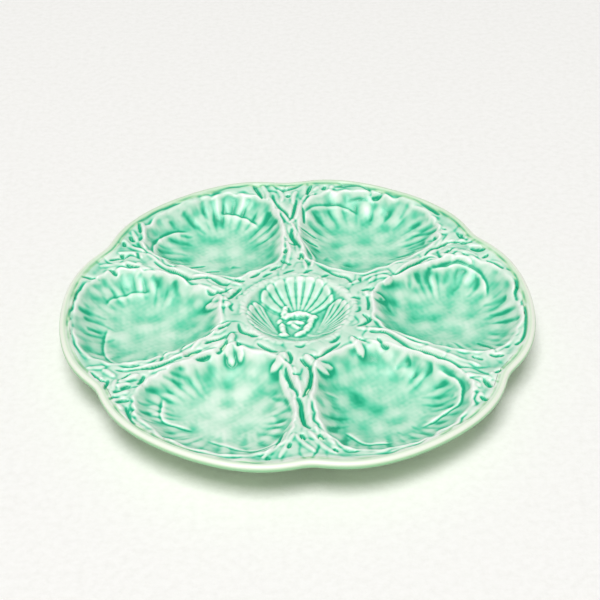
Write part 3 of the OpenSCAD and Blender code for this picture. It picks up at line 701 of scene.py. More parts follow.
def cup_parts(base, wing=-9.0):
    """The three scallops: which grid points lie in each, and the height of its fan."""
    left_cut = side_of(BACK_LEFT, base)
    right_cut = -side_of(BACK_RIGHT, base)
    middle_cut = side_of(LEFT_RIGHT, base)
    zones = {
        "back": np.minimum(left_cut, right_cut),
        "left": np.minimum(np.maximum(-left_cut, wing), middle_cut),
        "right": np.minimum(np.maximum(-right_cut, wing), -middle_cut),
    }
    return zones, {name: scallop_fan(*seen, base) for name, seen in SCALLOPS.items()}


def shell_edge(rib, strength):
    """Each point's share of the way to its shell's edge, and its distance past it."""
    outward = smooth(np.cos(np.radians(WELL_A)) * EDGE_OUT_GAIN)
    scallops = EDGE_RIB * (rib - RIB_MEAN) * strength * rise(SHARE, start=0.75, over=0.2)
    share = SHARE / (1 + EDGE_OUT * outward + scallops + EDGE_WAVE * waves("shell_edge"))
    return share, (share - 1) * WELL_REACH


def shell_height(share, d, rib, inner, strength):
    """A shell: its fluted bowl, and a rolled lip that falls to the bed outside."""
    bowl = FLOOR_Z + (LIP_Z + BOWL_OVER - FLOOR_Z) * np.minimum(share, 1.25) ** BOWL_POWER
    crest = LIP_Z + LIP_LIFT + LIP_WAVE * waves("lip") + LIP_BY_RIM * fall(INSET, end=11, over=4.0)
    lip = crest - LIP_ROUND * np.clip(d - LIP_START, 0, None) ** 2
    shell = -soft_most(-bowl, -lip, LIP_BLEND)
    grown = np.clip((share - inner) / (RIB_OUT - inner), 0, 1)
    flute = strength * grown * np.clip(1 - FLUTE_FADE * np.clip(d, 0, None), 0, 1)
    shell = shell - FLUTE_DOWN * flute * (1 - rib) + FLUTE_UP * flute * rib
    shell += BOWL_DENT * waves("bowl") * fall(share, end=1, over=0.4)
    return shell + LIP_BEAD * bell(d, at=-0.4, width=0.8)


def leaf_field():
    """Leaves between thin creases, from 0 to 1, and how far out on the ridges."""
    outer = rise(GR, start=42, over=8)
    stretch, apart = 2.2, 90
    on_ridge = pillows("ridge_leaves", ALONG_R / stretch + apart * RIDGE_K, ACROSS_R)
    return outer * on_ridge + (1 - outer) * pillows("hub_leaves"), outer


def bed_height(d, leaves, outer):
    """The bed between the shells, which rises to the rim and is leafy on the ridges."""
    vary = np.clip(0.8 + 0.4 * waves("leaf_height"), 0.2, 1.4)
    beside = fall(np.abs(ACROSS_R), end=17, over=6) * rise(d, start=0.5, over=1.2)
    bed = BED_Z + BED_RIPPLE * waves("bed") + BED_BY_RIM * fall(INSET, end=9.5, over=5.0)
    return bed + (0.5 + 0.25 * outer) * (leaves - LEAF_MEAN) * vary * beside


def join_shells(shell, bed, d):
    """The shells and the bed, with a crease beside each lip."""
    crease = LIP_CREASE * np.clip(0.5 + 0.7 * waves("lip_crease"), 0, 1.4)
    creased = bed - crease * bell(d, at=1.5, width=0.8)
    sunk = bed - BED_SINK * fall(d, end=0.4, over=2.0)
    joined = np.maximum(shell, np.where(d > 0, creased, sunk))
    return np.where(d < -2.5, shell, joined)


def add_cup(z, base):
    """The cup with its scallops and its ring of leaves, set into the bed."""
    zones, fans = cup_parts(base)
    fan = np.zeros_like(z)
    for name, zone in zones.items():
        fan = np.maximum(fan, np.where(zone > 0, fans[name] * rise(zone, start=0, over=0.8), 0))
    cup = np.interp(GR, *zip(*CUP_WALL)) + fan * fall(GR, end=30.5, over=1.5)
    middle = RING_MID_R + RING_SWAY * np.sin(np.radians(RING_SWAYS * GT + RING_SWAY_A))
    ring = RING_Z - RING_ROUND * (GR - middle) ** 2 + RING_LEAF * (pillows("ring_leaves") - RING_MEAN)
    inside = np.maximum(cup, np.where(GR > RING_FROM_R, ring, 0))
    outside = np.where(GR < RING_TO_R, np.maximum(z, ring), z)
    return np.where(GR < RING_ALONE_R, inside, outside), zones


def drawn_relief(base, leaves):
    """What the strokes raise and cut, from the stems to the shells' broad grooves."""
    relief, cuts, steps, sags, grooves = (np.zeros_like(GX) for _ in range(5))
    for well, height, fade, *numbers in LEDGES:
        q = rounded(on_surface(np.reshape(numbers, (-1, 2)), base))
        add_ledge(steps, q, MIDDLES[well], height, fade)
    for width, height, q in strokes(STEMS, base, STEM_LIFT):
        add_bead(relief, q, width, height, soft=LEAF_SOFT if width > LEAF_FROM_W else STEM_SOFT)
    for width, depth, q in strokes(CREASES, base):
        add_cut(cuts, q, CREASE_WIDER * width, depth, CREASE_ENDS)
        add_cut(sags, q, width + SAG_WIDER, SAG_SHARE * depth, SAG_ENDS)
    for width, depth, q in strokes(STREAKS, base):
        add_cut(grooves, q, STREAK_WIDER * width, STREAK_SHARE * depth, STREAK_ENDS)
    return steps + relief * (STEM_SHARE + STEM_LEAFY * leaves) - CREASE_DEEPER * cuts - sags - grooves


def sprig_height(base):
    sprig = np.zeros_like(GX)
    for width, height, q in strokes(SPRIG, base, SPRIG_LIFT):
        add_bead(sprig, q, SPRIG_WIDER * width, SPRIG_SHARE * height, SPRIG_ENDS, SPRIG_SOFT)
    return sprig * (1 + SPRIG_ROUGH * waves("sprig"))


def add_rim(z):
    """The rim's inner slope, with a thin crease at its foot."""
    roll = SEEN_TOP_Z - RIM_ROUND * np.clip(INSET - RIM_CREST_IN, 0, None) ** 2
    z = np.where(INSET < RIM_W + 3.0, soft_most(roll, np.minimum(z, BY_RIM_Z), RIM_BLEND), z)
    crease = RIM_CREASE * np.clip(0.1 + 0.8 * waves("rim_crease"), 0, 1.2)
    z = z - crease * bell(INSET, at=RIM_CREASE_IN, width=0.6)
    return np.where(INSET < RIM_CREST_IN, SEEN_TOP_Z, z)


def build_height():
    """The broad form, the seen surface, the distance past the shells' edges, the sprig
    alone and the scallops' zones."""
    base = bowl_base()
    rib, inner, strength = flutes(base)
    share, d = shell_edge(rib, strength)
    leaves, outer = leaf_field()
    shell = shell_height(share, d, rib, inner, strength)
    z, zones = add_cup(join_shells(shell, bed_height(d, leaves, outer), d), base)
    sprig = sprig_height(base)
    z = z + drawn_relief(base, leaves) * rise(INSET, start=3.0, over=1.4) + sprig
    z = blur(add_rim(z), SKIN_BLUR) + SKIN * waves("skin")
    return base, np.minimum(z, SEEN_TOP_Z), d, sprig, zones


# How deep the glaze lies on a plain face, and what each thing adds to that or takes, painted highlights and
# painted shade included
GLAZE_AND_PAINTED_LIGHT = {
    "plain": 0.36, "crest_thin_and_highlight": -1.05, "hollow": 1.65, "fine_hollow": 0.8, "broad": 0.06, "wide": 0.34,
    "depth": 0.03, "clouds": 0.035, "sprig": -0.16, "floor": -0.03, "wall": -0.01, "cup": -0.05,
    "back_rim_painted_shade": 0.13, "front_rim_painted_highlight": -0.15,
}
# How pale a crest can get, thin glaze with a painted highlight, and how much its height over the ground near
# it counts
PALE_LIMIT, CREST_NEAR, CREST_NEAREST = 0.30, 0.60, 1.15
# How far the ground is compared for each kind of hollow
NEAR, NEAREST, FAR, WIDE = 1.2, 0.65, 4.5, 2.6
# The height where a well's depth counts from, and how deep it counts in full
DEPTH_FROM_Z, DEPTH_FULL = 21.5, 12.7


def pool_field(base, z, sprig):
    """How deep the glaze pools, with painted highlights and painted shade mixed in: 0 where it runs thin and
    pale, 1 in the hollows.
    """
    hollow, fine, broad, wide = (blur(z, size) - z for size in (NEAR, NEAREST, FAR, WIDE))
    # pale crests: glaze that runs thin, and a painted highlight on top of it
    crest = np.minimum(CREST_NEAR * hollow + CREST_NEAREST * fine, 0)
    pool = GLAZE_AND_PAINTED_LIGHT["plain"] + GLAZE_AND_PAINTED_LIGHT["crest_thin_and_highlight"] * PALE_LIMIT * (1 - np.exp(crest / PALE_LIMIT))
    pool += GLAZE_AND_PAINTED_LIGHT["hollow"] * np.maximum(hollow, 0) + GLAZE_AND_PAINTED_LIGHT["fine_hollow"] * np.maximum(fine, 0)
    pool += GLAZE_AND_PAINTED_LIGHT["broad"] * broad + GLAZE_AND_PAINTED_LIGHT["wide"] * wide * fall(SHARE, end=1.0, over=0.12)
    depth = np.clip((DEPTH_FROM_Z - z) / DEPTH_FULL, 0, 1)
    pool += GLAZE_AND_PAINTED_LIGHT["depth"] * depth + GLAZE_AND_PAINTED_LIGHT["clouds"] * waves("glaze")
    for amount, size, seen in POOLS:
        x, y = on_surface([seen], base)[0]
        pool += amount * np.exp(-((GX - x) ** 2 + (GY - y) ** 2) / size**2)
    # each well's tint, with a painted sheen on the lower left well
    pool += np.array(WELL_TINT_AND_SHEEN)[WELL_OF] * fall(SHARE, end=1.05, over=0.3)
    pool += GLAZE_AND_PAINTED_LIGHT["sprig"] * np.clip(sprig / 1.5, 0, 1)
    pool += GLAZE_AND_PAINTED_LIGHT["floor"] * fall(SHARE, end=0.65, over=0.5)
    pool += GLAZE_AND_PAINTED_LIGHT["wall"] * rise(SHARE, start=0.55, over=0.25) * fall(SHARE, end=1.05, over=0.1)
    pool += GLAZE_AND_PAINTED_LIGHT["cup"] * fall(GR, end=28, over=4)
    # painted light: the rim's foot is painted paler in front, a painted highlight, and darker behind, a
    # painted shade
    by_rim = GLAZE_AND_PAINTED_LIGHT["back_rim_painted_shade"] * rise(GY, start=45, over=40) + GLAZE_AND_PAINTED_LIGHT["front_rim_painted_highlight"] * fall(GY, end=25, over=90)
    pool += by_rim * fall(INSET, end=9, over=3.5)
    return np.clip(pool, 0, 1)


BASE, Z, LIP_D, SPRIG_H, CUP_ZONES = build_height()
GLAZE_AND_LIGHT = pool_field(BASE, Z, SPRIG_H)
ZX = np.gradient(Z, STEP, axis=1)
ZY = np.gradient(Z, STEP, axis=0)


# Meshes
def make_mesh(name, verts, faces, pool, cream=None, normals=None, uv=None, smooth_faces=None):
    """A mesh in metres from millimetres. normals is per corner, with zeros to keep
    Blender's own."""
    mesh = bpy.data.meshes.new(name)
    mesh.from_pydata((np.asarray(verts) * MM).tolist(), [], faces)
    flags = np.ones(len(mesh.polygons), bool) if smooth_faces is None else np.asarray(smooth_faces, bool)
    mesh.polygons.foreach_set("use_smooth", flags)
    for label, values in (("pool", pool), ("cream", cream)):
        layer = mesh.attributes.new(label, "FLOAT", "POINT")
        layer.data.foreach_set("value", np.zeros(len(verts)) if values is None else np.asarray(values, float))
    if uv is not None:
        layer = mesh.uv_layers.new(name="OFBake")
        layer.data.foreach_set("uv", np.asarray(uv, float).ravel())
    if normals is not None:
        mesh.normals_split_custom_set(np.asarray(normals, float).tolist())
    mesh.update()
    piece = bpy.data.objects.new(name, mesh)
    bpy.context.scene.collection.objects.link(piece)
    return piece


TINY = 1e-6


def clip_grid(inside, snap=0.18):
    """Polygons of the grid's cells cut to where the field is above zero, with the cut
    points on the cells' edges, as marching squares gives them."""
    gy, gx = np.gradient(inside, STEP)
    steep = np.maximum(np.hypot(gx, gy) * STEP, TINY)
    flat = np.where(np.abs(inside) < snap * steep, 0, inside).ravel()
    n = len(AXIS)
    idx = np.arange(n * n).reshape(n, n)
    corners = np.stack([idx[:-1, :-1], idx[:-1, 1:], idx[1:, 1:], idx[1:, :-1]], -1).reshape(-1, 4)
    count = (flat[corners] > 0).sum(1)
    polygons = corners[count == 4].tolist()
    points = np.stack([GX.ravel(), GY.ravel()], 1)
    extra_points, extra_id = [], {}

    def crossing(a, b):
        if flat[a] == 0:
            return a
        if flat[b] == 0:
            return b
        a, b = min(a, b), max(a, b)
        if (a, b) not in extra_id:
            extra_id[a, b] = n * n + len(extra_points)
            extra_points.append(points[a] + flat[a] / (flat[a] - flat[b]) * (points[b] - points[a]))
        return extra_id[a, b]

    for cell in corners[(count > 0) & (count < 4)].tolist():
        ring = []
        for i in range(4):
            a, b = cell[i], cell[(i + 1) % 4]
            if flat[a] > 0:
                ring.append(a)
            if (flat[a] > 0) != (flat[b] > 0):
                ring.append(crossing(a, b))
        kept = [v for i, v in enumerate(ring) if v != ring[i - 1]]
        if len(kept) > 2:
            polygons.append(kept)
    if extra_points:
        points = np.concatenate([points, np.array(extra_points)])
    used = np.unique(np.concatenate(polygons))
    new = np.full(len(points), -1)
    new[used] = np.arange(len(used))
    return points[used], [[int(new[v]) for v in p] for p in polygons]


# The layout of a slab's UVs: its top fills most of the square, and its underside and
# sides take the strip to the right
UV_EDGE, UV_TOP, UV_LOW, UV_LEFT, UV_RIGHT = 0.005, 0.93, 0.04, 0.955, 0.99
UV_SIDE_FROM, UV_SIDE_TALL, UV_SIDE_FILL = 0.08, 0.9, 0.8


def slab_uv(xy, corners_top, corners_low, sides):
    lo, size = xy.min(0), max(np.ptp(xy, axis=0).max(), TINY)
    flat = (xy - lo) / size
    uv_top = flat[corners_top] * UV_TOP + UV_EDGE
    uv_low = flat[corners_low] * UV_LOW + (UV_LEFT, UV_EDGE)
    m = max(sides, 1)
    t = np.arange(sides)[:, None] / m * UV_SIDE_TALL + UV_SIDE_FROM
    t1 = t + UV_SIDE_FILL * UV_SIDE_TALL / m
    left, right = np.full_like(t, UV_LEFT), np.full_like(t, UV_RIGHT)
    pairs = [np.hstack(pair) for pair in ((left, t1), (left, t), (right, t), (right, t1))]
    return np.concatenate([uv_top, uv_low, np.stack(pairs, 1).reshape(-1, 2)])


def slab(name, inside, thick=1.5, thin=0.25, taper_w=2.5):
    """A closed piece of the surface: the top follows the height field, and the underside
    follows it too, a little below, thinner towards the piece's edge."""
    xy, polygons = clip_grid(inside)
    z = sample(Z, xy)
    depth = thin + (thick - thin) * smooth(sample(np.clip(inside, 0, 3), xy) / taper_w)
    nx, ny = -sample(ZX, xy), -sample(ZY, xy)
    scale = 1 / np.sqrt(nx**2 + ny**2 + 1)
    up = np.stack([nx * scale, ny * scale, scale], 1)
    n = len(xy)
    verts = np.concatenate([np.column_stack([xy, z]), np.column_stack([xy, z - depth])])
    edges = {(v, p[(i + 1) % len(p)]): True for p in polygons for i, v in enumerate(p)}
    border = [e for e in edges if (e[1], e[0]) not in edges]
    faces = polygons + [[v + n for v in reversed(p)] for p in polygons]
    faces += [[b, a, a + n, b + n] for a, b in border]
    corners_top = np.concatenate(polygons)
    corners_low = np.concatenate([p[::-1] for p in polygons])
    zeros = np.zeros((len(corners_low) + 4 * len(border), 3))
    normals = np.concatenate([up[corners_top], zeros])
    uv = slab_uv(xy, corners_top, corners_low, len(border))
    flags = [True] * (2 * len(polygons)) + [False] * len(border)
    return make_mesh(name, verts, faces, np.tile(sample(GLAZE_AND_LIGHT, xy), 2), None, normals, uv, flags)


class Loft:
    """Loops of as many points, joined in order, outside up or out, with the glaze's depth, painted light
    included, and cream on each loop."""

    def __init__(self):
        self.loops, self.pool, self.cream = [], [], []

    def add(self, loop, pool, cream):
        self.loops.append(loop)
        self.pool.append(np.broadcast_to(pool, len(loop)))
        self.cream.append(np.broadcast_to(cream, len(loop)))

    def make(self, name, closed=False):
        """The piece: closed joins the last loop to the first, else both ends are capped."""
        n, count = len(self.loops[0]), len(self.loops)
        faces = []
        for i in range(count if closed else count - 1):
            a, b = i * n, (i + 1) % count * n
            faces += [[a + j, b + j, b + (j + 1) % n, a + (j + 1) % n] for j in range(n)]
        if not closed:
            faces += [list(range(n)), [(count - 1) * n + j for j in reversed(range(n))]]
        pool, cream = np.concatenate(self.pool), np.concatenate(self.cream)
        return make_mesh(name, np.concatenate(self.loops), faces, pool, cream)


# Materials
def srgb(r, g, b):
    def lin(c):
        c /= 255
        return c / 12.92 if c <= 0.04045 else ((c + 0.055) / 1.055) ** 2.4
    return lin(r), lin(g), lin(b), 1.0


def grey(value):
    return value, value, value, 1.0


def node(tree, kind, **inputs):
    made = tree.nodes.new("ShaderNode" + kind)
    for key, value in inputs.items():
        made.inputs[key.replace("_", " ")].default_value = value
    return made


def ramp(tree, source, stops):
    """The source's value turned into a colour by its stops."""
    made = node(tree, "ValToRGB")
    items = made.color_ramp.elements
    while len(items) < len(stops):
        items.new(0.5)
    for item, (place, colour) in zip(items, stops):
        item.position, item.color = place, colour
    tree.links.new(source, made.inputs["Fac"])
    return made.outputs["Color"]


def sum_or_product(tree, operation, a, b):
    made = node(tree, "Math")
    made.operation = operation
    tree.links.new(a, made.inputs[0])
    tree.links.new(b, made.inputs[1])
    return made.outputs[0]


def mixed(tree, factor, a, colour, blend):
    """A colour mixed with a plain one."""
    made = node(tree, "Mix")
    made.data_type = "RGBA"
    made.blend_type = blend
    tree.links.new(factor, made.inputs["Factor"])
    tree.links.new(a, made.inputs["A"])
    made.inputs["B"].default_value = colour
    return made.outputs["Result"]


def grained(tree, scale, detail, roughness):
    """Noise that stays on the piece."""
    made = node(tree, "TexNoise", Scale=scale, Detail=detail, Roughness=roughness)
    tree.links.new(node(tree, "TexCoord").outputs["Object"], made.inputs["Vector"])
    return made.outputs["Fac"]


def material(name, rough):
    mat = bpy.data.materials.new(name)
    mat.use_nodes = True
    tree = mat.node_tree
    tree.nodes.clear()
    shader = node(tree, "BsdfPrincipled", Roughness=rough)
    tree.links.new(shader.outputs[0], node(tree, "OutputMaterial").inputs[0])
    return mat, tree, shader


def add_bump(tree, shader, height, strength, distance):
    bump = node(tree, "Bump", Strength=strength, Distance=distance)
    tree.links.new(height, bump.inputs["Height"])
    tree.links.new(bump.outputs["Normal"], shader.inputs["Normal"])


# The glaze's colours, from thin to pooled, on the plate and on its rim
GLAZE_STOPS = [
    (0.0, srgb(250, 254, 246)), (0.15, srgb(228, 248, 232)), (0.30, srgb(207, 240, 219)),
    (0.43, srgb(179, 231, 204)), (0.56, srgb(146, 221, 189)), (0.70, srgb(104, 213, 174)),
    (0.84, srgb(64, 198, 154)), (1.0, srgb(12, 174, 130)),
]
RIM_STOPS = [
    (0.0, srgb(253, 254, 249)), (0.15, srgb(236, 249, 232)), (0.30, srgb(206, 236, 206)),
    (0.50, srgb(172, 224, 176)), (0.70, srgb(118, 204, 158)), (1.0, srgb(24, 176, 132)),
]
CREAM, SPECK = (1.0, 0.985, 0.86, 1.0), srgb(118, 132, 66)
BISCUIT_STOPS = [(0.3, srgb(214, 203, 178)), (0.7, srgb(238, 229, 208))]
FLOOR_STOPS = [(0.25, srgb(245, 244, 240)), (0.6, srgb(252, 251, 248))]
SPECK_SIZE = [(0.0, grey(1)), (0.020, grey(1)), (0.034, grey(0))]
SPECK_SHARE = [(0.0, grey(0)), (0.80, grey(0)), (0.84, grey(0.55))]
SKY_STOPS = [(0.0, grey(0.50)), (0.5, grey(0.85)), (0.95, grey(1))]
CLOUD, CLOUD_MIDDLE = 0.06, -0.03


def glaze_material(name, stops):
    """Translucent glaze that is dark where it pools and pale where it runs thin, with the painted highlights
    and painted shade that its attribute carries.
    """
    mat, tree, shader = material(name, rough=0.42)
    for key, value in (("Coat Weight", 0.22), ("Coat Roughness", 0.22), ("Coat IOR", 1.5)):
        shader.inputs[key].default_value = value
    pool, cream = node(tree, "Attribute"), node(tree, "Attribute")
    pool.attribute_name, cream.attribute_name = "pool", "cream"
    vary = node(tree, "Math")
    vary.operation = "MULTIPLY_ADD"
    tree.links.new(grained(tree, scale=45.0, detail=3.0, roughness=0.55), vary.inputs[0])
    vary.inputs[1].default_value = CLOUD
    vary.inputs[2].default_value = CLOUD_MIDDLE
    total = sum_or_product(tree, "ADD", pool.outputs["Fac"], vary.outputs[0])
    creamy = mixed(tree, cream.outputs["Fac"], ramp(tree, total, stops), CREAM, "MULTIPLY")
    # a few iron specks
    spots = node(tree, "TexVoronoi", Scale=38.0, Randomness=1.0)
    tree.links.new(node(tree, "TexCoord").outputs["Object"], spots.inputs["Vector"])
    small = ramp(tree, spots.outputs["Distance"], SPECK_SIZE)
    rare = ramp(tree, spots.outputs["Color"], SPECK_SHARE)
    speck = mixed(tree, sum_or_product(tree, "MULTIPLY", small, rare), creamy, SPECK, "MIX")
    tree.links.new(speck, shader.inputs["Base Color"])
    # orange peel
    peel = grained(tree, scale=260.0, detail=2.0, roughness=0.5)
    add_bump(tree, shader, peel, strength=0.06, distance=0.0006)
    return mat


def biscuit_material():
    mat, tree, shader = material("biscuit", rough=0.85)
    grain = grained(tree, scale=420.0, detail=4.0, roughness=0.6)
    tree.links.new(ramp(tree, grain, BISCUIT_STOPS), shader.inputs["Base Color"])
    add_bump(tree, shader, grain, strength=0.25, distance=0.0004)
    return mat


def floor_material():
    mat, tree, shader = material("floor", rough=0.9)
    shader.inputs["Specular IOR Level"].default_value = 0.1
    grain = grained(tree, scale=260.0, detail=5.0, roughness=0.65)
    tree.links.new(ramp(tree, grain, FLOOR_STOPS), shader.inputs["Base Color"])
    add_bump(tree, shader, grain, strength=0.35, distance=0.0008)
    return mat


CELADON = glaze_material("celadon", GLAZE_STOPS)
RELIEF_GLAZE = glaze_material("relief", GLAZE_STOPS)
RIM_GLAZE = glaze_material("rim", RIM_STOPS)
BISCUIT = biscuit_material()


# Pieces
def finish(piece, mat, node_name):
    piece.data.materials.append(mat)
    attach(piece, "root")
    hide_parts(node_name)


def add_relief(name, inside, thick=1.5):
    finish(slab(name, inside, thick), RELIEF_GLAZE, name)


# The top: where each piece lies, as a distance in from its edge
IN_RIM = INSET - RIM_W
SHELL_IN = np.minimum(1.3 - LIP_D, IN_RIM)
# Half the seaweed's width along its ridge
LEAF_W = [(30, 7), (38, 9), (50, 9), (62, 6), (90, 6), (98, 11), (108, 14.5), (114, 13)]
WEED_START_R, RING_OVER, SPRIG_EDGE, OUTSIDE = 34.5, 0.6, 0.35, -2.0
WEED_SIDE = np.interp(ALONG_R, *zip(*LEAF_W)) - np.abs(ACROSS_R) + 0.5 * waves("weed_edge")
WEED_IN = np.minimum.reduce([WEED_SIDE, ALONG_R - WEED_START_R, -SHELL_IN, IN_RIM - 0.2])
CUP_IN = RING_IN - GR
RING_FREE = np.minimum.reduce([-CUP_IN, RING_OUT + RING_OVER - GR, -SHELL_IN])
SPRIG_IN = blur(SPRIG_H, 0.3) - SPRIG_EDGE


def make_top():
    for k in range(WELLS):
        name = f"oyster_shell_{k + 1}"
        finish(slab(name, np.where(WELL_OF == k, SHELL_IN, OUTSIDE)), CELADON, name)
        add_relief(f"seaweed_{k + 1}", np.where(RIDGE_K == k, WEED_IN, OUTSIDE))
    add_relief("centre_ring", RING_FREE)
    add_relief("centre_sprig", np.minimum(SPRIG_IN, CUP_IN - 0.3), thick=1.0)
    for name, zone in CUP_ZONES.items():
        add_relief(f"scallop_{name}", np.minimum.reduce([zone, CUP_IN, -SPRIG_IN]))
    others = np.maximum.reduce([SHELL_IN, WEED_IN, RING_FREE, CUP_IN, np.full_like(GX, -3.0)])
    finish(slab("plate_deck", np.minimum(-others, IN_RIM)), CELADON, "plate_body")


# Rim, body and foot
OUTLINE_N, FOOT_N = 960, 360
OUT_A = np.arange(OUTLINE_N) * 360 / OUTLINE_N
OUT_R = edge_r(OUT_A)
# The rim from its foot to its crest: how far in. Then from the crest to the edge, how far
# in and how deep the glaze is, and on its hidden side how far in, how high and how deep
RIM_INNER = (RIM_W + 0.02, 5.15, 4.8, 4.5, 4.2, 3.9, 3.6, 3.3, 3.0, 2.8, RIM_CREST_IN)
RIM_OUTER = ((2.2, 0.16), (1.8, 0.10), (1.4, 0.06), (1.0, 0.04), (0.7, 0.07), (0.45, 0.16), (0.25, 0.30),
             (0.12, 0.44), (0.03, 0.55))
RIM_HIDDEN = ((0.02, 21.5, 0.58), (0.12, 21.1, 0.55), (0.16, 20.95, 0.5), (RIM_W, 20.2, 0.4))
CREST_POOL, CREST_CREAM, OUTER_CREAM, HIDDEN_CREAM = 0.24, 0.3, 0.4, 0.6
# How the rim's top wavers, and how much darker it is painted at the back, a painted shade
RIM_WAVER, RIM_WAVER_UP, RIM_WAVER_IN, BACK_PAINTED_SHADE = 0.10, 0.02, 3, 0.10
# The body: its hidden top's shares of the outline, and its edge: how far in, how high,
# how deep the glaze is and how creamy
LOW_BLUR, LOW_DROP = 1.5, 1.9
LOW_SHARES = (0.02, 0.06, 0.11, 0.16, 0.2, 0.24, 0.3, 0.36, 0.43, 0.5, 0.57, 0.64, 0.71, 0.78, 0.85, 0.9)
BODY_EDGE = ((RIM_W, 19.4, 0.4, 0.5), (0.5, 20.85, 0.4, 0.8), (0.13, 21.03, 0.4, 0.8),
             (0.38, 20.66, 0.52, 0.8), (0.85, 20.26, 0.48, 0.8), (1.6, 19.85, 0.42, 0.8),
             (3.0, 19.15, 0.36, 0.8), (4.6, 18.35, 0.32, 0.8), (5.8, 17.8, 0.32, 0.8),
             (EDGE_TAPER_W + 0.4, BORDER_Z, 0.32, 0.8))
UNDER_SHARES = np.linspace(0.935, 0.54, 30)
# Under the middle, radius and height, and how deep and creamy the glaze is below
BY_FOOT = 1.5
DOME = ((FOOT_R + BY_FOOT, FOOT_H), (FOOT_R - FOOT_W - BY_FOOT, FOOT_H), (50, 4.4), (42, 6.4), (34, 7.7),
        (26, 8.35), (14, 8.5), (3, 8.5))
UNDER_POOL, UNDER_CREAM, LOW_CREAM = 0.3, 0.5, 0.2


def circle(r, z, deg):
    a = np.radians(deg)
    return np.column_stack([r * np.cos(a), r * np.sin(a), np.broadcast_to(z, a.shape)])


def outline_loop(inset, z, share=1.0):
    """A loop of the outline, moved in or shrunk to a share."""
    return circle((OUT_R - inset) * share, z, OUT_A)


def make_rim():
    """The rim: its inner side follows the height field, and it falls outwards in a long
    curve to the plate's edge."""
    rim = Loft()
    for inset in RIM_INNER:
        loop = outline_loop(inset, 0.0)
        loop[:, 2] = sample(Z, loop[:, :2])
        mix = fall(inset, end=3.9, over=1.3)
        pool = sample(GLAZE_AND_LIGHT, loop[:, :2]) * (1 - mix) + CREST_POOL * mix
        rim.add(loop, np.clip(pool, 0, 1), CREST_CREAM * mix)
    waver = RIM_WAVER * sample(waves("rim_waver"), outline_loop(RIM_WAVER_IN, 0)[:, :2])
    # painted shade: the rim's top is painted darker towards the back
    at_back = BACK_PAINTED_SHADE * rise(OUT_R * np.sin(np.radians(OUT_A)), start=45, over=40)
    for inset, pool in RIM_OUTER:
        round_share = math.sqrt(1 - ((RIM_CREST_IN - inset) / RIM_CREST_IN) ** 2)
        z = RIM_MIDDLE_Z + (SEEN_TOP_Z - RIM_MIDDLE_Z) * round_share
        z = z + np.minimum(waver * smooth(inset), RIM_WAVER_UP)
        rim.add(outline_loop(inset, z), pool + at_back * smooth(inset / 0.5), OUTER_CREAM)
    for inset, z, pool in RIM_HIDDEN:
        rim.add(outline_loop(inset, z), pool, HIDDEN_CREAM)
    return rim.make("rolled_rim", closed=True)


def under_z(points):
    """The underside follows the wells."""
    r, t = np.hypot(points[:, 0], points[:, 1]), np.degrees(np.arctan2(points[:, 1], points[:, 0]))
    k = np.round(t / SECTOR).astype(int) % WELLS
    d = points - MIDDLES[k]
    a = half_turns(np.degrees(np.arctan2(d[:, 1], d[:, 0])) - SECTOR * k)
    share = np.minimum(np.hypot(d[:, 0], d[:, 1]) / reach(a), 1)
    z = np.minimum(BORDER_Z, FLOOR_Z + WELL_DEPTH * share**BOWL_POWER - UNDER_WALL)
    near = fall(r, end=FOOT_R + 9, over=8)
    return z * (1 - near) + FOOT_H * near, r.min()


def make_body():
    """The clay under the glaze's relief: edge, underside and a hidden top."""
    body = Loft()
    low = blur(Z, LOW_BLUR) - LOW_DROP
    for share in LOW_SHARES:
        loop = outline_loop(0, 0.0, share)
        loop[:, 2] = sample(low, loop[:, :2])
        body.add(loop, UNDER_POOL, LOW_CREAM)
    for inset, z, pool, cream in BODY_EDGE:
        body.add(outline_loop(inset, z), pool, cream)
    for share in UNDER_SHARES:
        loop = outline_loop(0, 0.0, share)
        loop[:, 2], least_r = under_z(loop[:, :2])
        if least_r > FOOT_R + BY_FOOT:
            body.add(loop, UNDER_POOL, UNDER_CREAM)
    for r, z in DOME:
        body.add(circle(r, z, OUT_A), UNDER_POOL, UNDER_CREAM)
    return body.make("plate_base")


def make_foot():
    """The foot ring: its half section, mirrored, from the outer side to the inner."""
    half = (FOOT_W - FOOT_LAND) / 2
    top = FOOT_H + 0.2
    side = [(0, top), (0.1, FOOT_H - 0.5), (half - 0.3, 0.7), (half - 0.05, 0.25), (half + 0.35, 0.0)]
    outer = [(FOOT_R - inset, z) for inset, z in side]
    inner = [(FOOT_R - FOOT_W + inset, z) for inset, z in reversed(side)]
    foot = Loft()
    for r, z in outer + inner:
        foot.add(circle(r, z, np.arange(FOOT_N) * 360 / FOOT_N), 0, 0)
    return foot.make("foot_ring", closed=True)


make_top()
finish(make_rim(), RIM_GLAZE, "rolled_rim")
finish(make_body(), RIM_GLAZE, "plate_body")
finish(make_foot(), BISCUIT, "foot_ring")


# Stage, light and camera
SKY_STRENGTH, SKY_LEAN = 0.32, (0.0, 0.0, 1.0)
KEY_PLACE, KEY_SIZE, KEY_POWER = (-0.5, -2.0, 5.7), 2.8, 288.0
KEY_AIM = (0, 0, 0.02)
STAGE_HALF, SENSOR_MM, CLIP = 3.0, 36.0, (0.01, 20.0)


def add_object(name, data):
    made = bpy.data.objects.new(name, data)
    bpy.context.scene.collection.objects.link(made)
    return made


def make_stage():
    s = STAGE_HALF
    mesh = bpy.data.meshes.new("floor")
    mesh.from_pydata([(-s, -s, 0), (s, -s, 0), (s, s, 0), (-s, s, 0)], [], [(0, 1, 2, 3)])
    mesh.materials.append(floor_material())
    add_object("floor", mesh)


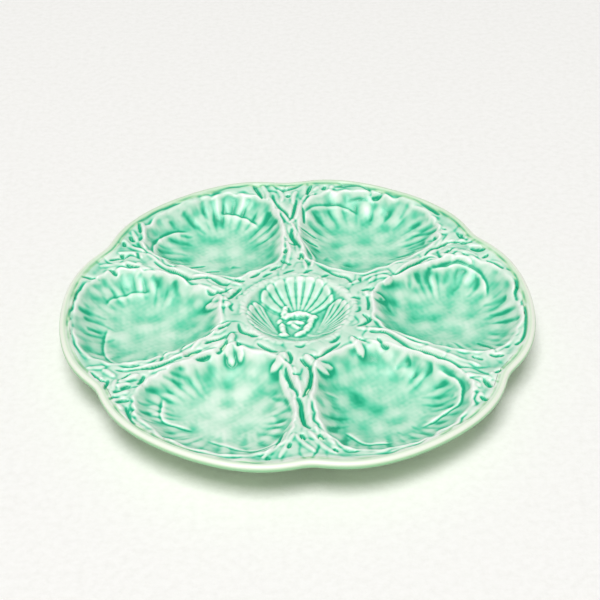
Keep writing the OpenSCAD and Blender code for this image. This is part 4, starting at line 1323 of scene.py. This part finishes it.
def make_light():
    """A soft sky that is brightest overhead, and one large lamp far off, above and in
    front of the plate."""
    world = bpy.data.worlds.new("studio")
    bpy.context.scene.world = world
    world.use_nodes = True
    tree = world.node_tree
    back = tree.nodes["Background"]
    back.inputs["Strength"].default_value = SKY_STRENGTH
    lean = node(tree, "VectorMath")
    lean.operation = "DOT_PRODUCT"
    lean.inputs[1].default_value = SKY_LEAN
    tree.links.new(node(tree, "TexCoord").outputs["Generated"], lean.inputs[0])
    tree.links.new(ramp(tree, lean.outputs["Value"], SKY_STOPS), back.inputs["Color"])
    lamp = bpy.data.lights.new("key", "AREA")
    lamp.size, lamp.energy = KEY_SIZE, KEY_POWER
    key = add_object("key", lamp)
    key.location = KEY_PLACE
    aim = Vector(KEY_AIM) - Vector(KEY_PLACE)
    key.rotation_euler = aim.to_track_quat("-Z", "Y").to_euler()


def make_camera():
    """The camera that was fitted to the photograph's outline, off centre and rolled."""
    turn = Matrix.Rotation(math.radians(VIEW_TURN), 3, "Z")
    back = turn @ Vector((0, -math.cos(VIEW_UP), math.sin(VIEW_UP)))
    right = turn @ Vector((1, 0, 0))
    up = back.cross(right)
    eye = back * VIEW_FAR * MM + Vector((0, 0, VIEW_LEVEL * MM))
    half = PICTURE_PX / 2
    middle = -back * FOCAL_PX + right * (half - MIDDLE_PX[0]) + up * (MIDDLE_PX[1] - half)
    z_axis = -middle.normalized()
    x_axis = (right - right.dot(z_axis) * z_axis).normalized()
    y_axis = z_axis.cross(x_axis)
    c, s = math.cos(ROLL), math.sin(ROLL)
    x_axis, y_axis = c * x_axis - s * y_axis, s * x_axis + c * y_axis
    data = bpy.data.cameras.new("camera")
    data.sensor_width = SENSOR_MM
    data.lens = FOCAL_PX / PICTURE_PX * SENSOR_MM
    data.clip_start, data.clip_end = CLIP
    camera = add_object("camera", data)
    rows = Matrix((x_axis, y_axis, z_axis)).transposed()
    camera.matrix_world = Matrix.Translation(eye) @ rows.to_4x4()
    bpy.context.scene.camera = camera


make_stage()
make_light()
make_camera()
bpy.context.scene.view_settings.view_transform = "Standard"
